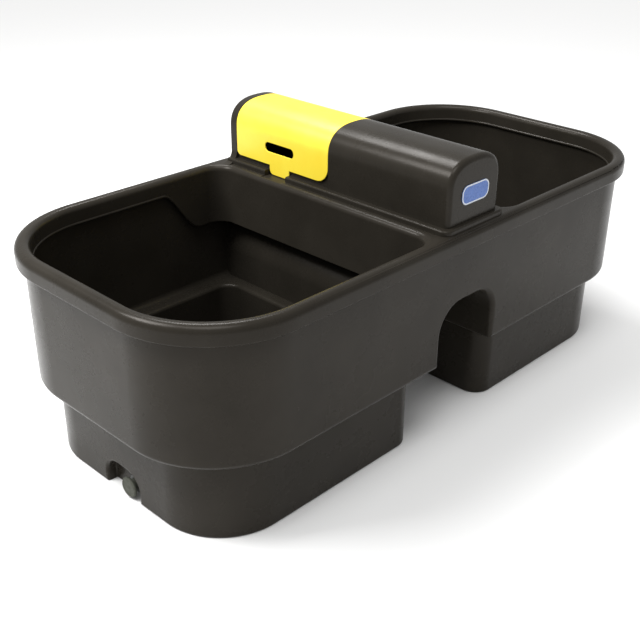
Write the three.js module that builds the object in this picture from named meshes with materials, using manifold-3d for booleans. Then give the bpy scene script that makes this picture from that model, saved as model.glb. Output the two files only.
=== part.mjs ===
// Livestock water trough: one rotationally moulded polyethylene shell with two drinking bays, a bridge
// between them that spans a pipe tunnel, and a service housing on the bridge with a hinged lid over a
// float valve. Each bay has its own drain. Millimetres, +Z up. +X runs along the length, the housing
// lies along Y, and the origin is the middle of the footprint on the ground.
import * as THREE from "three";
import { mergeVertices } from "three/addons/utils/BufferGeometryUtils.js";
import Module from "manifold-3d";

const wasm = await Module();
wasm.setup();

// ---- Overall sizes of the trough ----
const LENGTH = 1685;
const WIDTH = 800;
const RIM_HEIGHT = 547;
const WALL = 6;
const PLAN_CORNER = 256;

// ---- Rolled rim ----
const BAND_DEPTH = 44;
const RIM_ROLL = 18;
const RIM_WIDTH = 36;
const THROAT_ROLL = 15;
const WALL_SET_IN = 18;

// ---- Upper walls, shoulder and legs ----
const SHOULDER_HEIGHT = 204;
const SHOULDER_ROUND = 16;
const LEG_END_SET_IN = 71.5;
const LEG_SIDE_SET_IN = 62;
const LEG_GAP = 276;
const LEG_END_CORNER = 170;
const LEG_GAP_CORNER = 50;
const FOOT_ROUND = 5;

// ---- Pipe tunnel under the bridge ----
const TUNNEL_WIDTH = 208;
const TUNNEL_HEIGHT = 362;
const TUNNEL_CORNER = 74;

// ---- Bay throats: the inner skin that hangs below the rim ----
const BRIDGE_WIDTH = 268;
const BRIDGE_CORNER = 50;
const THROAT_DRAFT = 5;
const SKIRT_HEIGHT = 503;
const CURTAIN_HEIGHT = 392;
const CURTAIN_REACH = 215;
const SKIRT_START = 330;

// ---- Service housing and its plinth ----
const HOUSING_WIDTH = 192;
const HOUSING_HEIGHT = 712;
const HOUSING_SPRING = 640;
const HOUSING_SQUARENESS = 2.6;
const HOUSING_NEAR_SET_IN = 28;
const HOUSING_FAR_SET_IN = 39;
const HOUSING_NEAR = HOUSING_NEAR_SET_IN - WIDTH / 2;
const HOUSING_FAR = WIDTH / 2 - HOUSING_FAR_SET_IN;
const HOUSING_ROUND = 14;
const FAR_ROUND = 4;
const PLINTH_RISE = 13;
const PLINTH_LEDGE = 16;
const PLINTH_NEAR_SET_IN = 16;
const PLINTH_NEAR = PLINTH_NEAR_SET_IN - WIDTH / 2;
const PLINTH_ROUND = 6;
const BUTTRESS_ROUND = 34;

// ---- Lid, its opening and its hinge ----
const LID_NEAR = 0;
const LID_END_WALL = 24;
const LID_FAR = HOUSING_FAR - LID_END_WALL;
const LID_THICK = 4;
const LID_GAP = 1.2;
const LID_FRONT_BOTTOM = 571;
const LID_BACK_BOTTOM = 603;
const LID_NEAR_CORNER = 40;
const LID_FAR_CORNER = 14;
const OPENING_SILL = 599;
const REBATE_DEPTH = 5.5;
const TAB_NOTCH_GAP = 2;
const TAB_OFF_MIDDLE = 5.5;
const TAB_CENTRE = (LID_NEAR + LID_FAR) / 2 + TAB_OFF_MIDDLE;
const TAB_WIDTH = 72;
const TAB_DROP = 24;
const SLOT_CENTRE = TAB_CENTRE;
const SLOT_HEIGHT_AT = 618;
const SLOT_LENGTH = 104;
const SLOT_WIDTH = 25;
const HINGE_OFFSET = 8;
const HINGE_RADIUS = 7;
const HINGE_PIN_RADIUS = 3;
const HINGE_PIN_CLEARANCE = 0.35;
const KNUCKLE_LENGTH = 36;
const LUG_LENGTH = 16;
const HINGE_SIDE_GAP = 1;
const HINGE_INSET = 68;

// ---- Badge plate ----
const BADGE_LENGTH = 100;
const BADGE_HEIGHT = 46;
const BADGE_THICK = 1.6;
const BADGE_CENTRE_HEIGHT = 626;

// ---- Drains ----
const DRAIN_OFFSET = -34;
const DRAIN_HEIGHT = 28.5;
const NICHE_OFFSET = -10;
const NICHE_WIDTH = 122;
const NICHE_HEIGHT = 72;
const NICHE_DEPTH = 26;
const NICHE_CORNER = 44;
const COLLAR_RADIUS = 18.5;
const COLLAR_FLANGE_RADIUS = 22;
const COLLAR_FLANGE_THICK = 4;
const COLLAR_BORE_RADIUS = 15;
const DRAIN_WASHER_THICK = 2;
const DRAIN_NUT_THICK = 7;
const BUNG_CLEARANCE = 0.35;
const BUNG_HEAD_RADIUS = 25;
const BUNG_HEAD_THICK = 9;
const BUNG_NECK = 14;
const BUNG_RIM_ROUND = 3;

// ---- Water inlet and float valve ----
const INLET_FROM_LID_END = 52;
const INLET_Y = LID_FAR - INLET_FROM_LID_END;
const STEM_RADIUS = 13;
const STEM_BORE_RADIUS = 6.5;
const STEM_BELOW_ROOF = 34;
const FLANGE_RADIUS = 22;
const FLANGE_THICK = 5;
const SOCKET_HEIGHT = 24;
const SEAL_THICK = 2;
const BACKNUT_FLATS = 38;
const BACKNUT_THICK = 9;
const RISER_RADIUS = 9;
const RISER_BORE_RADIUS = 6.5;
const ELBOW_RADIUS = 14;
const ELBOW_ARM = 10;
const ELBOW_SOCKET = 8;
const VALVE_AXIS_HEIGHT = 604;
const VALVE_RADIUS = 15;
const VALVE_LENGTH = 66;
const VALVE_BORE_RADIUS = 8.5;
const VALVE_WATERWAY_RADIUS = 5;
const CHEEK_INSET = 5;
const CHEEK_BEYOND_PIN = 7;
const UNION_FLATS = 34;
const UNION_THICK = 12;
const SPOUT_RADIUS = 8;
const SPOUT_WALL = 2.5;
const SPOUT_DROP = 34;
const NOZZLE_LENGTH = 10;
const NOZZLE_TAPER = 4;
const NOZZLE_TIP_RADIUS = 3.2;
const NOZZLE_BORE_RADIUS = 1.6;
const PISTON_LENGTH = 24;
const PISTON_CLEARANCE = 0.35;
const PISTON_TRAVEL = 5;
const PISTON_WASHER_THICK = 3;
const PISTON_WASHER_RADIUS = 6.3;
const LEVER_THICK = 5;
const LEVER_EYE_RADIUS = 5.5;
const FINGER_WIDTH = 4;
const FINGER_LEAD = 1.4;
const FINGER_TRAIL = 2.9;
const BLADE_LENGTH = 22;
const LEVER_SHORT_ARM = 16;
const FINGER_TIP = 4;
const LEVER_SIDE_GAP = 0.7;
const LEVER_PIN_RADIUS = 2;
const LEVER_PIN_HEAD = 1.5;
const LEVER_PIN_HEAD_THICK = 1.2;
const LEVER_PIVOT_FROM_MOUTH = 10;
const ROD_RADIUS = 3.5;
const FLOAT_RADIUS = 50;
const FLOAT_BOSS_RADIUS = 10;
const FLOAT_BOSS_PROUD = 6;
const ROD_IN_FLOAT = 26;
const FLOAT_REACH = 245;
const FLOAT_DROP_DEG = 38;
const LOCKNUT_FLATS = 13;
const LOCKNUT_THICK = 6;

// ---- Gaps between pieces that touch ----
const SEAT_GAP = 0.3;

const HALF_LENGTH = LENGTH / 2;
const HALF_WIDTH = WIDTH / 2;
const HALF_BRIDGE = BRIDGE_WIDTH / 2;
const HALF_HOUSING = HOUSING_WIDTH / 2;
const PLINTH_HEIGHT = RIM_HEIGHT + PLINTH_RISE;
const TUNNEL_ROOF = TUNNEL_HEIGHT + WALL;
const FAR_BEYOND = 60;

// ---- Materials ----
function material(color, roughness, metalness) {
  return new THREE.MeshStandardMaterial({ color, roughness, metalness });
}

const blackPolyethylene = () => material(0x2b2825, 0.42, 0);
const yellowPolyethylene = () => material(0xf6dc3c, 0.38, 0);
const bluePlate = () => material(0x2a4f9e, 0.35, 0);
const blackRubber = () => material(0x33342f, 0.75, 0);
const greyPolypropylene = () => material(0x4a4c4b, 0.5, 0);
const brass = () => material(0xb08d45, 0.35, 1);
const stainless = () => material(0xb9bcbe, 0.3, 1);
const whiteNylon = () => material(0xe8e6de, 0.45, 0);
const redFibre = () => material(0x8e3b2c, 0.8, 0);
const orangeFloat = () => material(0xd9622b, 0.4, 0);

// ---- Solids ----
// A closed geometry as a manifold-3d solid; a geometry that winds inwards is turned round.
function solidOf(geometry) {
  const bare = geometry.index ? geometry.toNonIndexed() : geometry.clone();
  const plain = new THREE.BufferGeometry().setAttribute("position", bare.getAttribute("position"));
  const merged = mergeVertices(plain, 1e-3);
  const triVerts = new Uint32Array(merged.index.array);
  const build = () =>
    new wasm.Manifold(
      new wasm.Mesh({ numProp: 3, vertProperties: merged.attributes.position.array, triVerts }),
    );
  const made = build();
  if (made.volume() > 0) return made;
  for (let i = 0; i < triVerts.length; i += 3) {
    [triVerts[i + 1], triVerts[i + 2]] = [triVerts[i + 2], triVerts[i + 1]];
  }
  return build();
}

// A solid as a named mesh.
function meshOf(name, solid, look) {
  const made = solid.getMesh();
  const geometry = new THREE.BufferGeometry();
  geometry.setAttribute("position", new THREE.BufferAttribute(new Float32Array(made.vertProperties), 3));
  geometry.setIndex(new THREE.BufferAttribute(new Uint32Array(made.triVerts), 1));
  geometry.computeVertexNormals();
  const mesh = new THREE.Mesh(geometry, look);
  mesh.name = name;
  return mesh;
}

// A skin through a stack of convex rings with the same number of points, closed at both ends.
function loft(rings) {
  const count = rings[0].length;
  const position = [];
  const index = [];
  for (const ring of rings) {
    for (const point of ring) position.push(point.x, point.y, point.z);
  }
  for (let i = 0; i + 1 < rings.length; i++) {
    for (let j = 0; j < count; j++) {
      const a = i * count + j;
      const b = i * count + ((j + 1) % count);
      index.push(a, b, b + count, a, b + count, a + count);
    }
  }
  const last = (rings.length - 1) * count;
  for (let j = 1; j + 1 < count; j++) {
    index.push(0, j + 1, j);
    index.push(last, last + j, last + j + 1);
  }
  const geometry = new THREE.BufferGeometry();
  geometry.setAttribute("position", new THREE.Float32BufferAttribute(position, 3));
  geometry.setIndex(index);
  return solidOf(geometry);
}

// A level ring: a rectangle from x0 to x1 and -half to half whose corners are rounded, r0 at x0 and r1 at x1.
function levelRing(x0, x1, half, r0, r1, z, steps = 8) {
  const corners = [
    [x1 - r1, half - r1, r1, 0],
    [x0 + r0, half - r0, r0, 1],
    [x0 + r0, -half + r0, r0, 2],
    [x1 - r1, -half + r1, r1, 3],
  ];
  const points = [];
  for (const [cx, cy, r, quarter] of corners) {
    for (let k = 0; k <= steps; k++) {
      const t = ((quarter + k / steps) * Math.PI) / 2;
      points.push(new THREE.Vector3(cx + r * Math.cos(t), cy + r * Math.sin(t), z));
    }
  }
  return points;
}

// A ring of the whole plan, set in from the outside by the given amounts.
function planRing(endInset, sideInset, z) {
  const a = HALF_LENGTH - endInset;
  const r = PLAN_CORNER - (endInset + sideInset) / 2;
  return levelRing(-a, a, HALF_WIDTH - sideInset, r, r, z);
}

// A flat shape extruded along +Z, +Y or +X. Along Y the shape is drawn as (x, z), along X as (y, z).
function prism(shape, from, to, axis, curveSegments = 8) {
  const geometry = new THREE.ExtrudeGeometry(shape, {
    depth: to - from,
    bevelEnabled: false,
    curveSegments,
  });
  geometry.translate(0, 0, from);
  if (axis === "y") {
    geometry.applyMatrix4(new THREE.Matrix4().set(1, 0, 0, 0, 0, 0, 1, 0, 0, 1, 0, 0, 0, 0, 0, 1));
  }
  if (axis === "x") {
    geometry.applyMatrix4(new THREE.Matrix4().set(0, 0, 1, 0, 1, 0, 0, 0, 0, 1, 0, 0, 0, 0, 0, 1));
  }
  return solidOf(geometry);
}

function roundedRect(x0, y0, x1, y1, radius) {
  const shape = new THREE.Shape();
  shape.moveTo(x0 + radius, y0);
  shape.lineTo(x1 - radius, y0);
  shape.absarc(x1 - radius, y0 + radius, radius, -Math.PI / 2, 0);
  shape.lineTo(x1, y1 - radius);
  shape.absarc(x1 - radius, y1 - radius, radius, 0, Math.PI / 2);
  shape.lineTo(x0 + radius, y1);
  shape.absarc(x0 + radius, y1 - radius, radius, Math.PI / 2, Math.PI);
  shape.lineTo(x0, y0 + radius);
  shape.absarc(x0 + radius, y0 + radius, radius, Math.PI, Math.PI * 1.5);
  return shape;
}

function polygon(points) {
  return new THREE.Shape(points.map(([x, y]) => new THREE.Vector2(x, y)));
}

function block(x0, x1, y0, y1, z0, z1) {
  const geometry = new THREE.BoxGeometry(x1 - x0, y1 - y0, z1 - z0);
  geometry.translate((x0 + x1) / 2, (y0 + y1) / 2, (z0 + z1) / 2);
  return solidOf(geometry);
}

// A turned solid about Z from [radius, height] pairs that start and end on the axis.
function turned(profile, segments = 24) {
  const geometry = new THREE.LatheGeometry(profile.map(([r, z]) => new THREE.Vector2(r, z)), segments);
  return solidOf(geometry.rotateX(Math.PI / 2));
}

// A turned ring about Z with a hole, from an outline of [radius, height] pairs.
function turnedRing(outline, segments = 24) {
  return turned([...outline, outline[0]], segments);
}

function rod(radius, z0, z1, segments = 24) {
  return turned([[0, z0], [radius, z0], [radius, z1], [0, z1]], segments);
}

function tube(outer, inner, z0, z1, segments = 24) {
  return turnedRing([[inner, z0], [outer, z0], [outer, z1], [inner, z1]], segments);
}

// A hexagonal nut about Z with a plain bore.
function hexNut(flats, bore, z0, z1) {
  const corner = flats / Math.sqrt(3);
  return rod(corner, z0, z1, 6).subtract(rod(bore, z0 - 1, z1 + 1));
}

// Turns a solid made about Z so that its axis lies along +X or +Y, then moves it.
function along(solid, axis, x, y, z) {
  const turn = axis === "x" ? [0, 90, 0] : axis === "y" ? [-90, 0, 0] : [0, 0, 0];
  return solid.rotate(turn).translate([x, y, z]);
}

// ---- Trough shell ----
// The rim's outer quarter round, as rings that climb from the band's face to the rim's top.
function rimRoll(faceInset, radius, top) {
  const rings = [];
  const steps = 4;
  for (let k = 0; k <= steps; k++) {
    const t = ((k / steps) * Math.PI) / 2;
    const inset = faceInset + radius * (1 - Math.cos(t));
    rings.push(planRing(inset, inset, top - radius + radius * Math.sin(t)));
  }
  return rings;
}

function upperOutside() {
  const rings = [];
  const steps = 3;
  for (let k = 0; k <= steps; k++) {
    const t = ((k / steps) * Math.PI) / 2;
    const inset = WALL_SET_IN + SHOULDER_ROUND * (1 - Math.sin(t));
    const z = SHOULDER_HEIGHT + SHOULDER_ROUND * (1 - Math.cos(t));
    rings.push(planRing(inset, inset, z));
  }
  const bandBottom = RIM_HEIGHT - BAND_DEPTH;
  rings.push(planRing(WALL_SET_IN, WALL_SET_IN, bandBottom - 4));
  rings.push(planRing(3, 3, bandBottom));
  rings.push(planRing(0, 0, bandBottom + 3));
  rings.push(...rimRoll(0, RIM_ROLL, RIM_HEIGHT));
  return loft(rings);
}

function upperInside() {
  const inset = WALL_SET_IN + WALL;
  const bandBottom = RIM_HEIGHT - BAND_DEPTH;
  const rings = [
    planRing(inset + SHOULDER_ROUND / 2, inset + SHOULDER_ROUND / 2, SHOULDER_HEIGHT + WALL),
    planRing(inset, inset, SHOULDER_HEIGHT + WALL + SHOULDER_ROUND / 2),
    planRing(inset, inset, bandBottom),
    planRing(WALL + 2, WALL + 2, bandBottom + WALL + 2),
    planRing(WALL, WALL, bandBottom + WALL + 4),
    ...rimRoll(WALL, RIM_ROLL - WALL, RIM_HEIGHT - WALL),
  ];
  return loft(rings);
}

// One leg, grown or shrunk all round by the skin given, from its foot up into the shoulder.
function leg(side, skin, top) {
  const end = HALF_LENGTH - LEG_END_SET_IN - skin;
  const gap = LEG_GAP / 2 + skin;
  const half = HALF_WIDTH - LEG_SIDE_SET_IN - skin;
  const rings = [];
  const steps = 3;
  const round = FOOT_ROUND;
  for (let k = 0; k <= steps; k++) {
    const t = ((k / steps) * Math.PI) / 2;
    const o = round * (1 - Math.sin(t));
    const z = skin + round * (1 - Math.cos(t));
    rings.push([o, z]);
  }
  rings.push([0, top]);
  return loft(
    rings.map(([o, z]) => {
      const outer = LEG_END_CORNER - skin - o;
      const inner = LEG_GAP_CORNER - skin - o;
      return side > 0
        ? levelRing(gap + o, end - o, half - o, inner, outer, z)
        : levelRing(-end + o, -gap - o, half - o, outer, inner, z);
    }),
  );
}

function tunnel(skin) {
  const half = TUNNEL_WIDTH / 2 + skin;
  const top = TUNNEL_HEIGHT + skin;
  const r = TUNNEL_CORNER + skin;
  const shape = new THREE.Shape();
  shape.moveTo(-half, -FAR_BEYOND);
  shape.lineTo(half, -FAR_BEYOND);
  shape.lineTo(half, top - r);
  shape.absarc(half - r, top - r, r, 0, Math.PI / 2);
  shape.lineTo(-half + r, top);
  shape.absarc(-half + r, top - r, r, Math.PI / 2, Math.PI);
  return prism(shape, -HALF_WIDTH - FAR_BEYOND, HALF_WIDTH + FAR_BEYOND, "y", 8);
}

function niche(side, skin) {
  const half = NICHE_WIDTH / 2 + skin;
  const top = NICHE_HEIGHT + skin;
  const r = NICHE_CORNER + skin;
  const shape = new THREE.Shape();
  shape.moveTo(NICHE_OFFSET - half, -FAR_BEYOND);
  shape.lineTo(NICHE_OFFSET + half, -FAR_BEYOND);
  shape.lineTo(NICHE_OFFSET + half, top - r);
  shape.absarc(NICHE_OFFSET + half - r, top - r, r, 0, Math.PI / 2);
  shape.lineTo(NICHE_OFFSET - half + r, top);
  shape.absarc(NICHE_OFFSET - half + r, top - r, r, Math.PI / 2, Math.PI);
  const back = HALF_LENGTH - LEG_END_SET_IN - NICHE_DEPTH - skin;
  const out = HALF_LENGTH + FAR_BEYOND;
  return side > 0 ? prism(shape, back, out, "x", 5) : prism(shape, -out, -back, "x", 5);
}

// One bay's throat: the drinking opening with its rounded lip, from below the curtain to above the rim.
function throat(side, skin) {
  const rings = [];
  const low = CURTAIN_HEIGHT - 14;
  rings.push([THROAT_DRAFT, low], [0, RIM_HEIGHT - THROAT_ROLL]);
  const steps = 4;
  if (skin === 0) {
    for (let k = 1; k <= steps; k++) {
      const t = ((k / steps) * Math.PI) / 2;
      rings.push([-THROAT_ROLL * (1 - Math.cos(t)), RIM_HEIGHT - THROAT_ROLL + THROAT_ROLL * Math.sin(t)]);
    }
    rings.push([-THROAT_ROLL, RIM_HEIGHT + FAR_BEYOND]);
  } else {
    rings.push([0, RIM_HEIGHT + FAR_BEYOND]);
  }
  return loft(
    rings.map(([o, z]) => {
      const inset = RIM_WIDTH + o - skin;
      const end = HALF_LENGTH - inset;
      const bridge = HALF_BRIDGE + o - skin;
      const outer = PLAN_CORNER - inset;
      const inner = BRIDGE_CORNER - o + skin;
      return side > 0
        ? levelRing(bridge, end, HALF_WIDTH - inset, inner, outer, z)
        : levelRing(-end, -bridge, HALF_WIDTH - inset, outer, inner, z);
    }),
  );
}

// What keeps the inner skin: everything above its trimmed edge, which dips at the bridge.
function aboveSkinEdge() {
  const out = HALF_LENGTH + FAR_BEYOND;
  const top = RIM_HEIGHT + FAR_BEYOND / 2;
  const middle = (CURTAIN_REACH + SKIRT_START) / 2;
  const shape = new THREE.Shape();
  shape.moveTo(-out, top);
  shape.lineTo(-out, SKIRT_HEIGHT);
  shape.lineTo(-SKIRT_START, SKIRT_HEIGHT);
  shape.bezierCurveTo(-middle, SKIRT_HEIGHT, -middle, CURTAIN_HEIGHT, -CURTAIN_REACH, CURTAIN_HEIGHT);
  shape.lineTo(CURTAIN_REACH, CURTAIN_HEIGHT);
  shape.bezierCurveTo(middle, CURTAIN_HEIGHT, middle, SKIRT_HEIGHT, SKIRT_START, SKIRT_HEIGHT);
  shape.lineTo(out, SKIRT_HEIGHT);
  shape.lineTo(out, top);
  return prism(shape, -HALF_WIDTH - FAR_BEYOND, HALF_WIDTH + FAR_BEYOND, "y", 8);
}

// The housing's section at a station along Y, set in by the given amount.
function housingRing(inset, y, bottom, steps = 20) {
  const half = HALF_HOUSING - inset;
  const rise = HOUSING_HEIGHT - HOUSING_SPRING - inset;
  const power = 2 / HOUSING_SQUARENESS;
  const points = [new THREE.Vector3(half, y, bottom)];
  for (let k = 0; k <= steps; k++) {
    const t = (k / steps) * Math.PI;
    const x = Math.sign(Math.cos(t)) * half * Math.abs(Math.cos(t)) ** power;
    points.push(new THREE.Vector3(x, y, HOUSING_SPRING + rise * Math.abs(Math.sin(t)) ** power));
  }
  points.push(new THREE.Vector3(-half, y, bottom));
  return points;
}

function housingOutside() {
  const bottom = RIM_HEIGHT - WALL / 2;
  const rings = [];
  const steps = 4;
  for (let k = 0; k <= steps; k++) {
    const t = ((k / steps) * Math.PI) / 2;
    const inset = HOUSING_ROUND * (1 - Math.sin(t));
    rings.push(housingRing(inset, HOUSING_NEAR + HOUSING_ROUND * (1 - Math.cos(t)), bottom));
  }
  for (let k = 0; k <= 2; k++) {
    const t = ((k / 2) * Math.PI) / 2;
    const y = HOUSING_FAR - FAR_ROUND * (1 - Math.sin(t));
    rings.push(housingRing(FAR_ROUND * (1 - Math.cos(t)), y, bottom));
  }
  return loft(rings);
}

function housingInside() {
  const bottom = RIM_HEIGHT - 2 * WALL;
  return loft([
    housingRing(WALL + HOUSING_ROUND / 3, HOUSING_NEAR + WALL, bottom),
    housingRing(WALL, HOUSING_NEAR + WALL + HOUSING_ROUND / 2, bottom),
    housingRing(WALL, HOUSING_FAR - WALL, bottom),
  ]);
}

// The plinth the housing stands on, a low step with a rounded top edge.
function plinthOutside() {
  const bottom = RIM_HEIGHT - WALL / 2;
  const rings = [[0, bottom], [0, PLINTH_HEIGHT - PLINTH_ROUND]];
  const steps = 3;
  for (let k = 1; k <= steps; k++) {
    const t = ((k / steps) * Math.PI) / 2;
    rings.push([PLINTH_ROUND * (1 - Math.cos(t)), PLINTH_HEIGHT - PLINTH_ROUND * (1 - Math.sin(t))]);
  }
  const middle = (PLINTH_NEAR + HOUSING_FAR) / 2;
  const reach = (HOUSING_FAR - PLINTH_NEAR) / 2;
  const half = HALF_HOUSING + PLINTH_LEDGE;
  const corner = PLINTH_LEDGE + PLINTH_ROUND;
  return loft(
    rings.map(([o, z]) => {
      const ring = levelRing(-half + o, half - o, reach - o, corner - o, corner - o, z, 4);
      return ring.map((point) => new THREE.Vector3(point.x, point.y + middle, point.z));
    }),
  );
}

function plinthInside() {
  const half = HALF_HOUSING + PLINTH_LEDGE - WALL;
  const near = PLINTH_NEAR + WALL + PLINTH_ROUND;
  return block(-half, half, near, HOUSING_FAR - WALL, RIM_HEIGHT - 2 * WALL, PLINTH_HEIGHT - WALL);
}

// The flare at each side of the far end wall, where the housing runs out into the rim.
function buttress(side) {
  const foot = HALF_HOUSING + BUTTRESS_ROUND;
  const base = RIM_HEIGHT - WALL / 2;
  const shape = new THREE.Shape();
  shape.moveTo(HALF_HOUSING - WALL, base);
  shape.lineTo(foot, base);
  shape.lineTo(foot, RIM_HEIGHT);
  shape.absarc(foot, RIM_HEIGHT + BUTTRESS_ROUND, BUTTRESS_ROUND, Math.PI * 1.5, Math.PI, true);
  shape.lineTo(HALF_HOUSING - WALL, RIM_HEIGHT + BUTTRESS_ROUND);
  const made = prism(shape, LID_FAR, HOUSING_FAR - FAR_ROUND, "y", 6);
  return side > 0 ? made : made.mirror([1, 0, 0]);
}

// What is trimmed out of the housing under the lid: its top and the upper part of its walls.
function lidOpening() {
  const out = HALF_HOUSING + FAR_BEYOND;
  return block(-out, out, LID_NEAR, LID_FAR, OPENING_SILL, HOUSING_HEIGHT + FAR_BEYOND);
}

// The rebate that the lid's front closes over, with a notch in the plinth for its tab.
function lidRebate(skin) {
  const out = HALF_HOUSING + FAR_BEYOND;
  const back = -(HALF_HOUSING - REBATE_DEPTH) + skin;
  const high = HOUSING_HEIGHT;
  const tabReach = TAB_WIDTH / 2 + TAB_NOTCH_GAP + skin;
  const tabFloor = LID_FRONT_BOTTOM - TAB_DROP - TAB_NOTCH_GAP - skin;
  const step = block(-out, back, LID_NEAR - skin, LID_FAR + skin, PLINTH_HEIGHT - skin, high);
  return step.add(block(-out, back, TAB_CENTRE - tabReach, TAB_CENTRE + tabReach, tabFloor, high));
}

const HINGE_X = HALF_HOUSING + HINGE_OFFSET;
const HINGE_Z = LID_BACK_BOTTOM + 1;
const HINGE_CENTRES = [LID_NEAR + HINGE_INSET, LID_FAR - HINGE_INSET];

// A hinge barrel about Y that is joined to the wall beside it by a web between two heights.
function hingeBarrel(y0, y1, webLow, webHigh, root) {
  const barrel = along(rod(HINGE_RADIUS, y0, y1, 16), "y", HINGE_X, 0, HINGE_Z);
  const web = block(HALF_HOUSING - root, HINGE_X, y0, y1, webLow, webHigh);
  const bore = rod(HINGE_PIN_RADIUS + HINGE_PIN_CLEARANCE, y0 - 1, y1 + 1, 16);
  return barrel.add(web).subtract(along(bore, "y", HINGE_X, 0, HINGE_Z));
}

function bodyLugs() {
  const lugs = [];
  for (const centre of HINGE_CENTRES) {
    const inner = KNUCKLE_LENGTH / 2 + HINGE_SIDE_GAP;
    const low = HINGE_Z - 2 * HINGE_RADIUS;
    const high = HINGE_Z - HINGE_RADIUS / 2;
    lugs.push(hingeBarrel(centre - inner - LUG_LENGTH, centre - inner, low, high, 2));
    lugs.push(hingeBarrel(centre + inner, centre + inner + LUG_LENGTH, low, high, 2));
  }
  return lugs;
}

const COLLAR_SEAT = HALF_LENGTH - LEG_END_SET_IN - NICHE_DEPTH;

function troughBody() {
  const sides = [-1, 1];
  let outside = upperOutside().add(housingOutside()).add(plinthOutside());
  let inside = upperInside().add(housingInside()).add(plinthInside());
  for (const side of sides) {
    outside = outside.add(leg(side, 0, SHOULDER_HEIGHT + 2 * WALL)).add(buttress(side));
    inside = inside.add(leg(side, WALL, SHOULDER_HEIGHT + 2 * WALL));
  }
  const keep = aboveSkinEdge();
  outside = outside.subtract(tunnel(0));
  inside = inside.subtract(tunnel(WALL));
  for (const side of sides) {
    outside = outside.subtract(niche(side, 0)).subtract(throat(side, 0));
    inside = inside.subtract(niche(side, WALL)).subtract(throat(side, WALL).intersect(keep));
  }
  outside = outside.subtract(lidRebate(0));
  inside = inside.subtract(lidRebate(WALL));
  let body = outside.subtract(inside).subtract(lidOpening());
  for (const lug of bodyLugs()) body = body.add(lug);
  const drainHole = rod(COLLAR_RADIUS + SEAT_GAP, -FAR_BEYOND, FAR_BEYOND);
  for (const side of sides) {
    body = body.subtract(along(drainHole, "x", side * COLLAR_SEAT, DRAIN_OFFSET, DRAIN_HEIGHT));
  }
  const inletHole = rod(STEM_RADIUS + SEAT_GAP, TUNNEL_HEIGHT - WALL, TUNNEL_ROOF + WALL);
  return body.subtract(inletHole.translate([0, INLET_Y, 0]));
}

// ---- Lid ----
function serviceLid() {
  const near = LID_NEAR + LID_GAP;
  const far = LID_FAR - LID_GAP;
  const bottom = LID_FRONT_BOTTOM - TAB_DROP;
  const shell = loft([housingRing(0, near, bottom), housingRing(0, far, bottom)]).subtract(
    loft([housingRing(LID_THICK, near - 1, bottom - 1), housingRing(LID_THICK, far + 1, bottom - 1)]),
  );
  // The front face, seen from the bay: rounded lower corners and a latch tab.
  const high = HOUSING_HEIGHT + FAR_BEYOND;
  const face = new THREE.Shape();
  face.moveTo(near, high);
  const nearCentre = LID_FRONT_BOTTOM + LID_NEAR_CORNER;
  face.lineTo(near, nearCentre);
  face.absarc(near + LID_NEAR_CORNER, nearCentre, LID_NEAR_CORNER, Math.PI, Math.PI * 1.5);
  face.lineTo(far - LID_FAR_CORNER, LID_FRONT_BOTTOM);
  face.absarc(far - LID_FAR_CORNER, LID_FRONT_BOTTOM + LID_FAR_CORNER, LID_FAR_CORNER, -Math.PI / 2, 0);
  face.lineTo(far, high);
  const reach = HALF_HOUSING + FAR_BEYOND;
  const tab = roundedRect(
    TAB_CENTRE - TAB_WIDTH / 2,
    LID_FRONT_BOTTOM - TAB_DROP,
    TAB_CENTRE + TAB_WIDTH / 2,
    LID_FRONT_BOTTOM + TAB_DROP,
    TAB_DROP / 2,
  );
  const slot = roundedRect(
    SLOT_CENTRE - SLOT_LENGTH / 2,
    SLOT_HEIGHT_AT - SLOT_WIDTH / 2,
    SLOT_CENTRE + SLOT_LENGTH / 2,
    SLOT_HEIGHT_AT + SLOT_WIDTH / 2,
    SLOT_WIDTH / 2 - 1,
  );
  const front = prism(face, -reach, 0, "x", 6).add(prism(tab, -reach, 0, "x", 4));
  const back = block(-1, reach, near, far, LID_BACK_BOTTOM, high);
  let lid = shell.intersect(front.add(back)).subtract(prism(slot, -reach, 0, "x", 6));
  for (const centre of HINGE_CENTRES) {
    const half = KNUCKLE_LENGTH / 2;
    lid = lid.add(
      hingeBarrel(centre - half, centre + half, HINGE_Z - 1, HINGE_Z + HINGE_RADIUS, LID_THICK / 2),
    );
  }
  return lid;
}

function hingePin(centre) {
  const half = KNUCKLE_LENGTH / 2 + HINGE_SIDE_GAP + LUG_LENGTH;
  return along(rod(HINGE_PIN_RADIUS, centre - half, centre + half, 16), "y", HINGE_X, 0, HINGE_Z);
}

// ---- Badge plate: plain, with nothing printed on it ----
function badgePlate() {
  const low = BADGE_CENTRE_HEIGHT - BADGE_HEIGHT / 2;
  const high = BADGE_CENTRE_HEIGHT + BADGE_HEIGHT / 2;
  const shape = roundedRect(-BADGE_LENGTH / 2, low, BADGE_LENGTH / 2, high, BADGE_HEIGHT / 2 - 4);
  const back = HOUSING_NEAR - SEAT_GAP;
  return prism(shape, back - BADGE_THICK, back, "y", 8);
}

// ---- Drains: a flanged collar through the niche's wall, a washer, a back nut inside and a push-in bung ----
// Each is drawn about +Z with z = 0 on the wall's outer face and +Z pointing out of the trough.
function drainCollar() {
  const face = SEAT_GAP + DRAIN_WASHER_THICK + SEAT_GAP;
  const inner = -(WALL + SEAT_GAP + DRAIN_NUT_THICK + 2);
  return turnedRing([
    [COLLAR_BORE_RADIUS, inner],
    [COLLAR_RADIUS, inner],
    [COLLAR_RADIUS, face],
    [COLLAR_FLANGE_RADIUS, face],
    [COLLAR_FLANGE_RADIUS, face + COLLAR_FLANGE_THICK],
    [COLLAR_BORE_RADIUS, face + COLLAR_FLANGE_THICK],
  ]);
}

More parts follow.
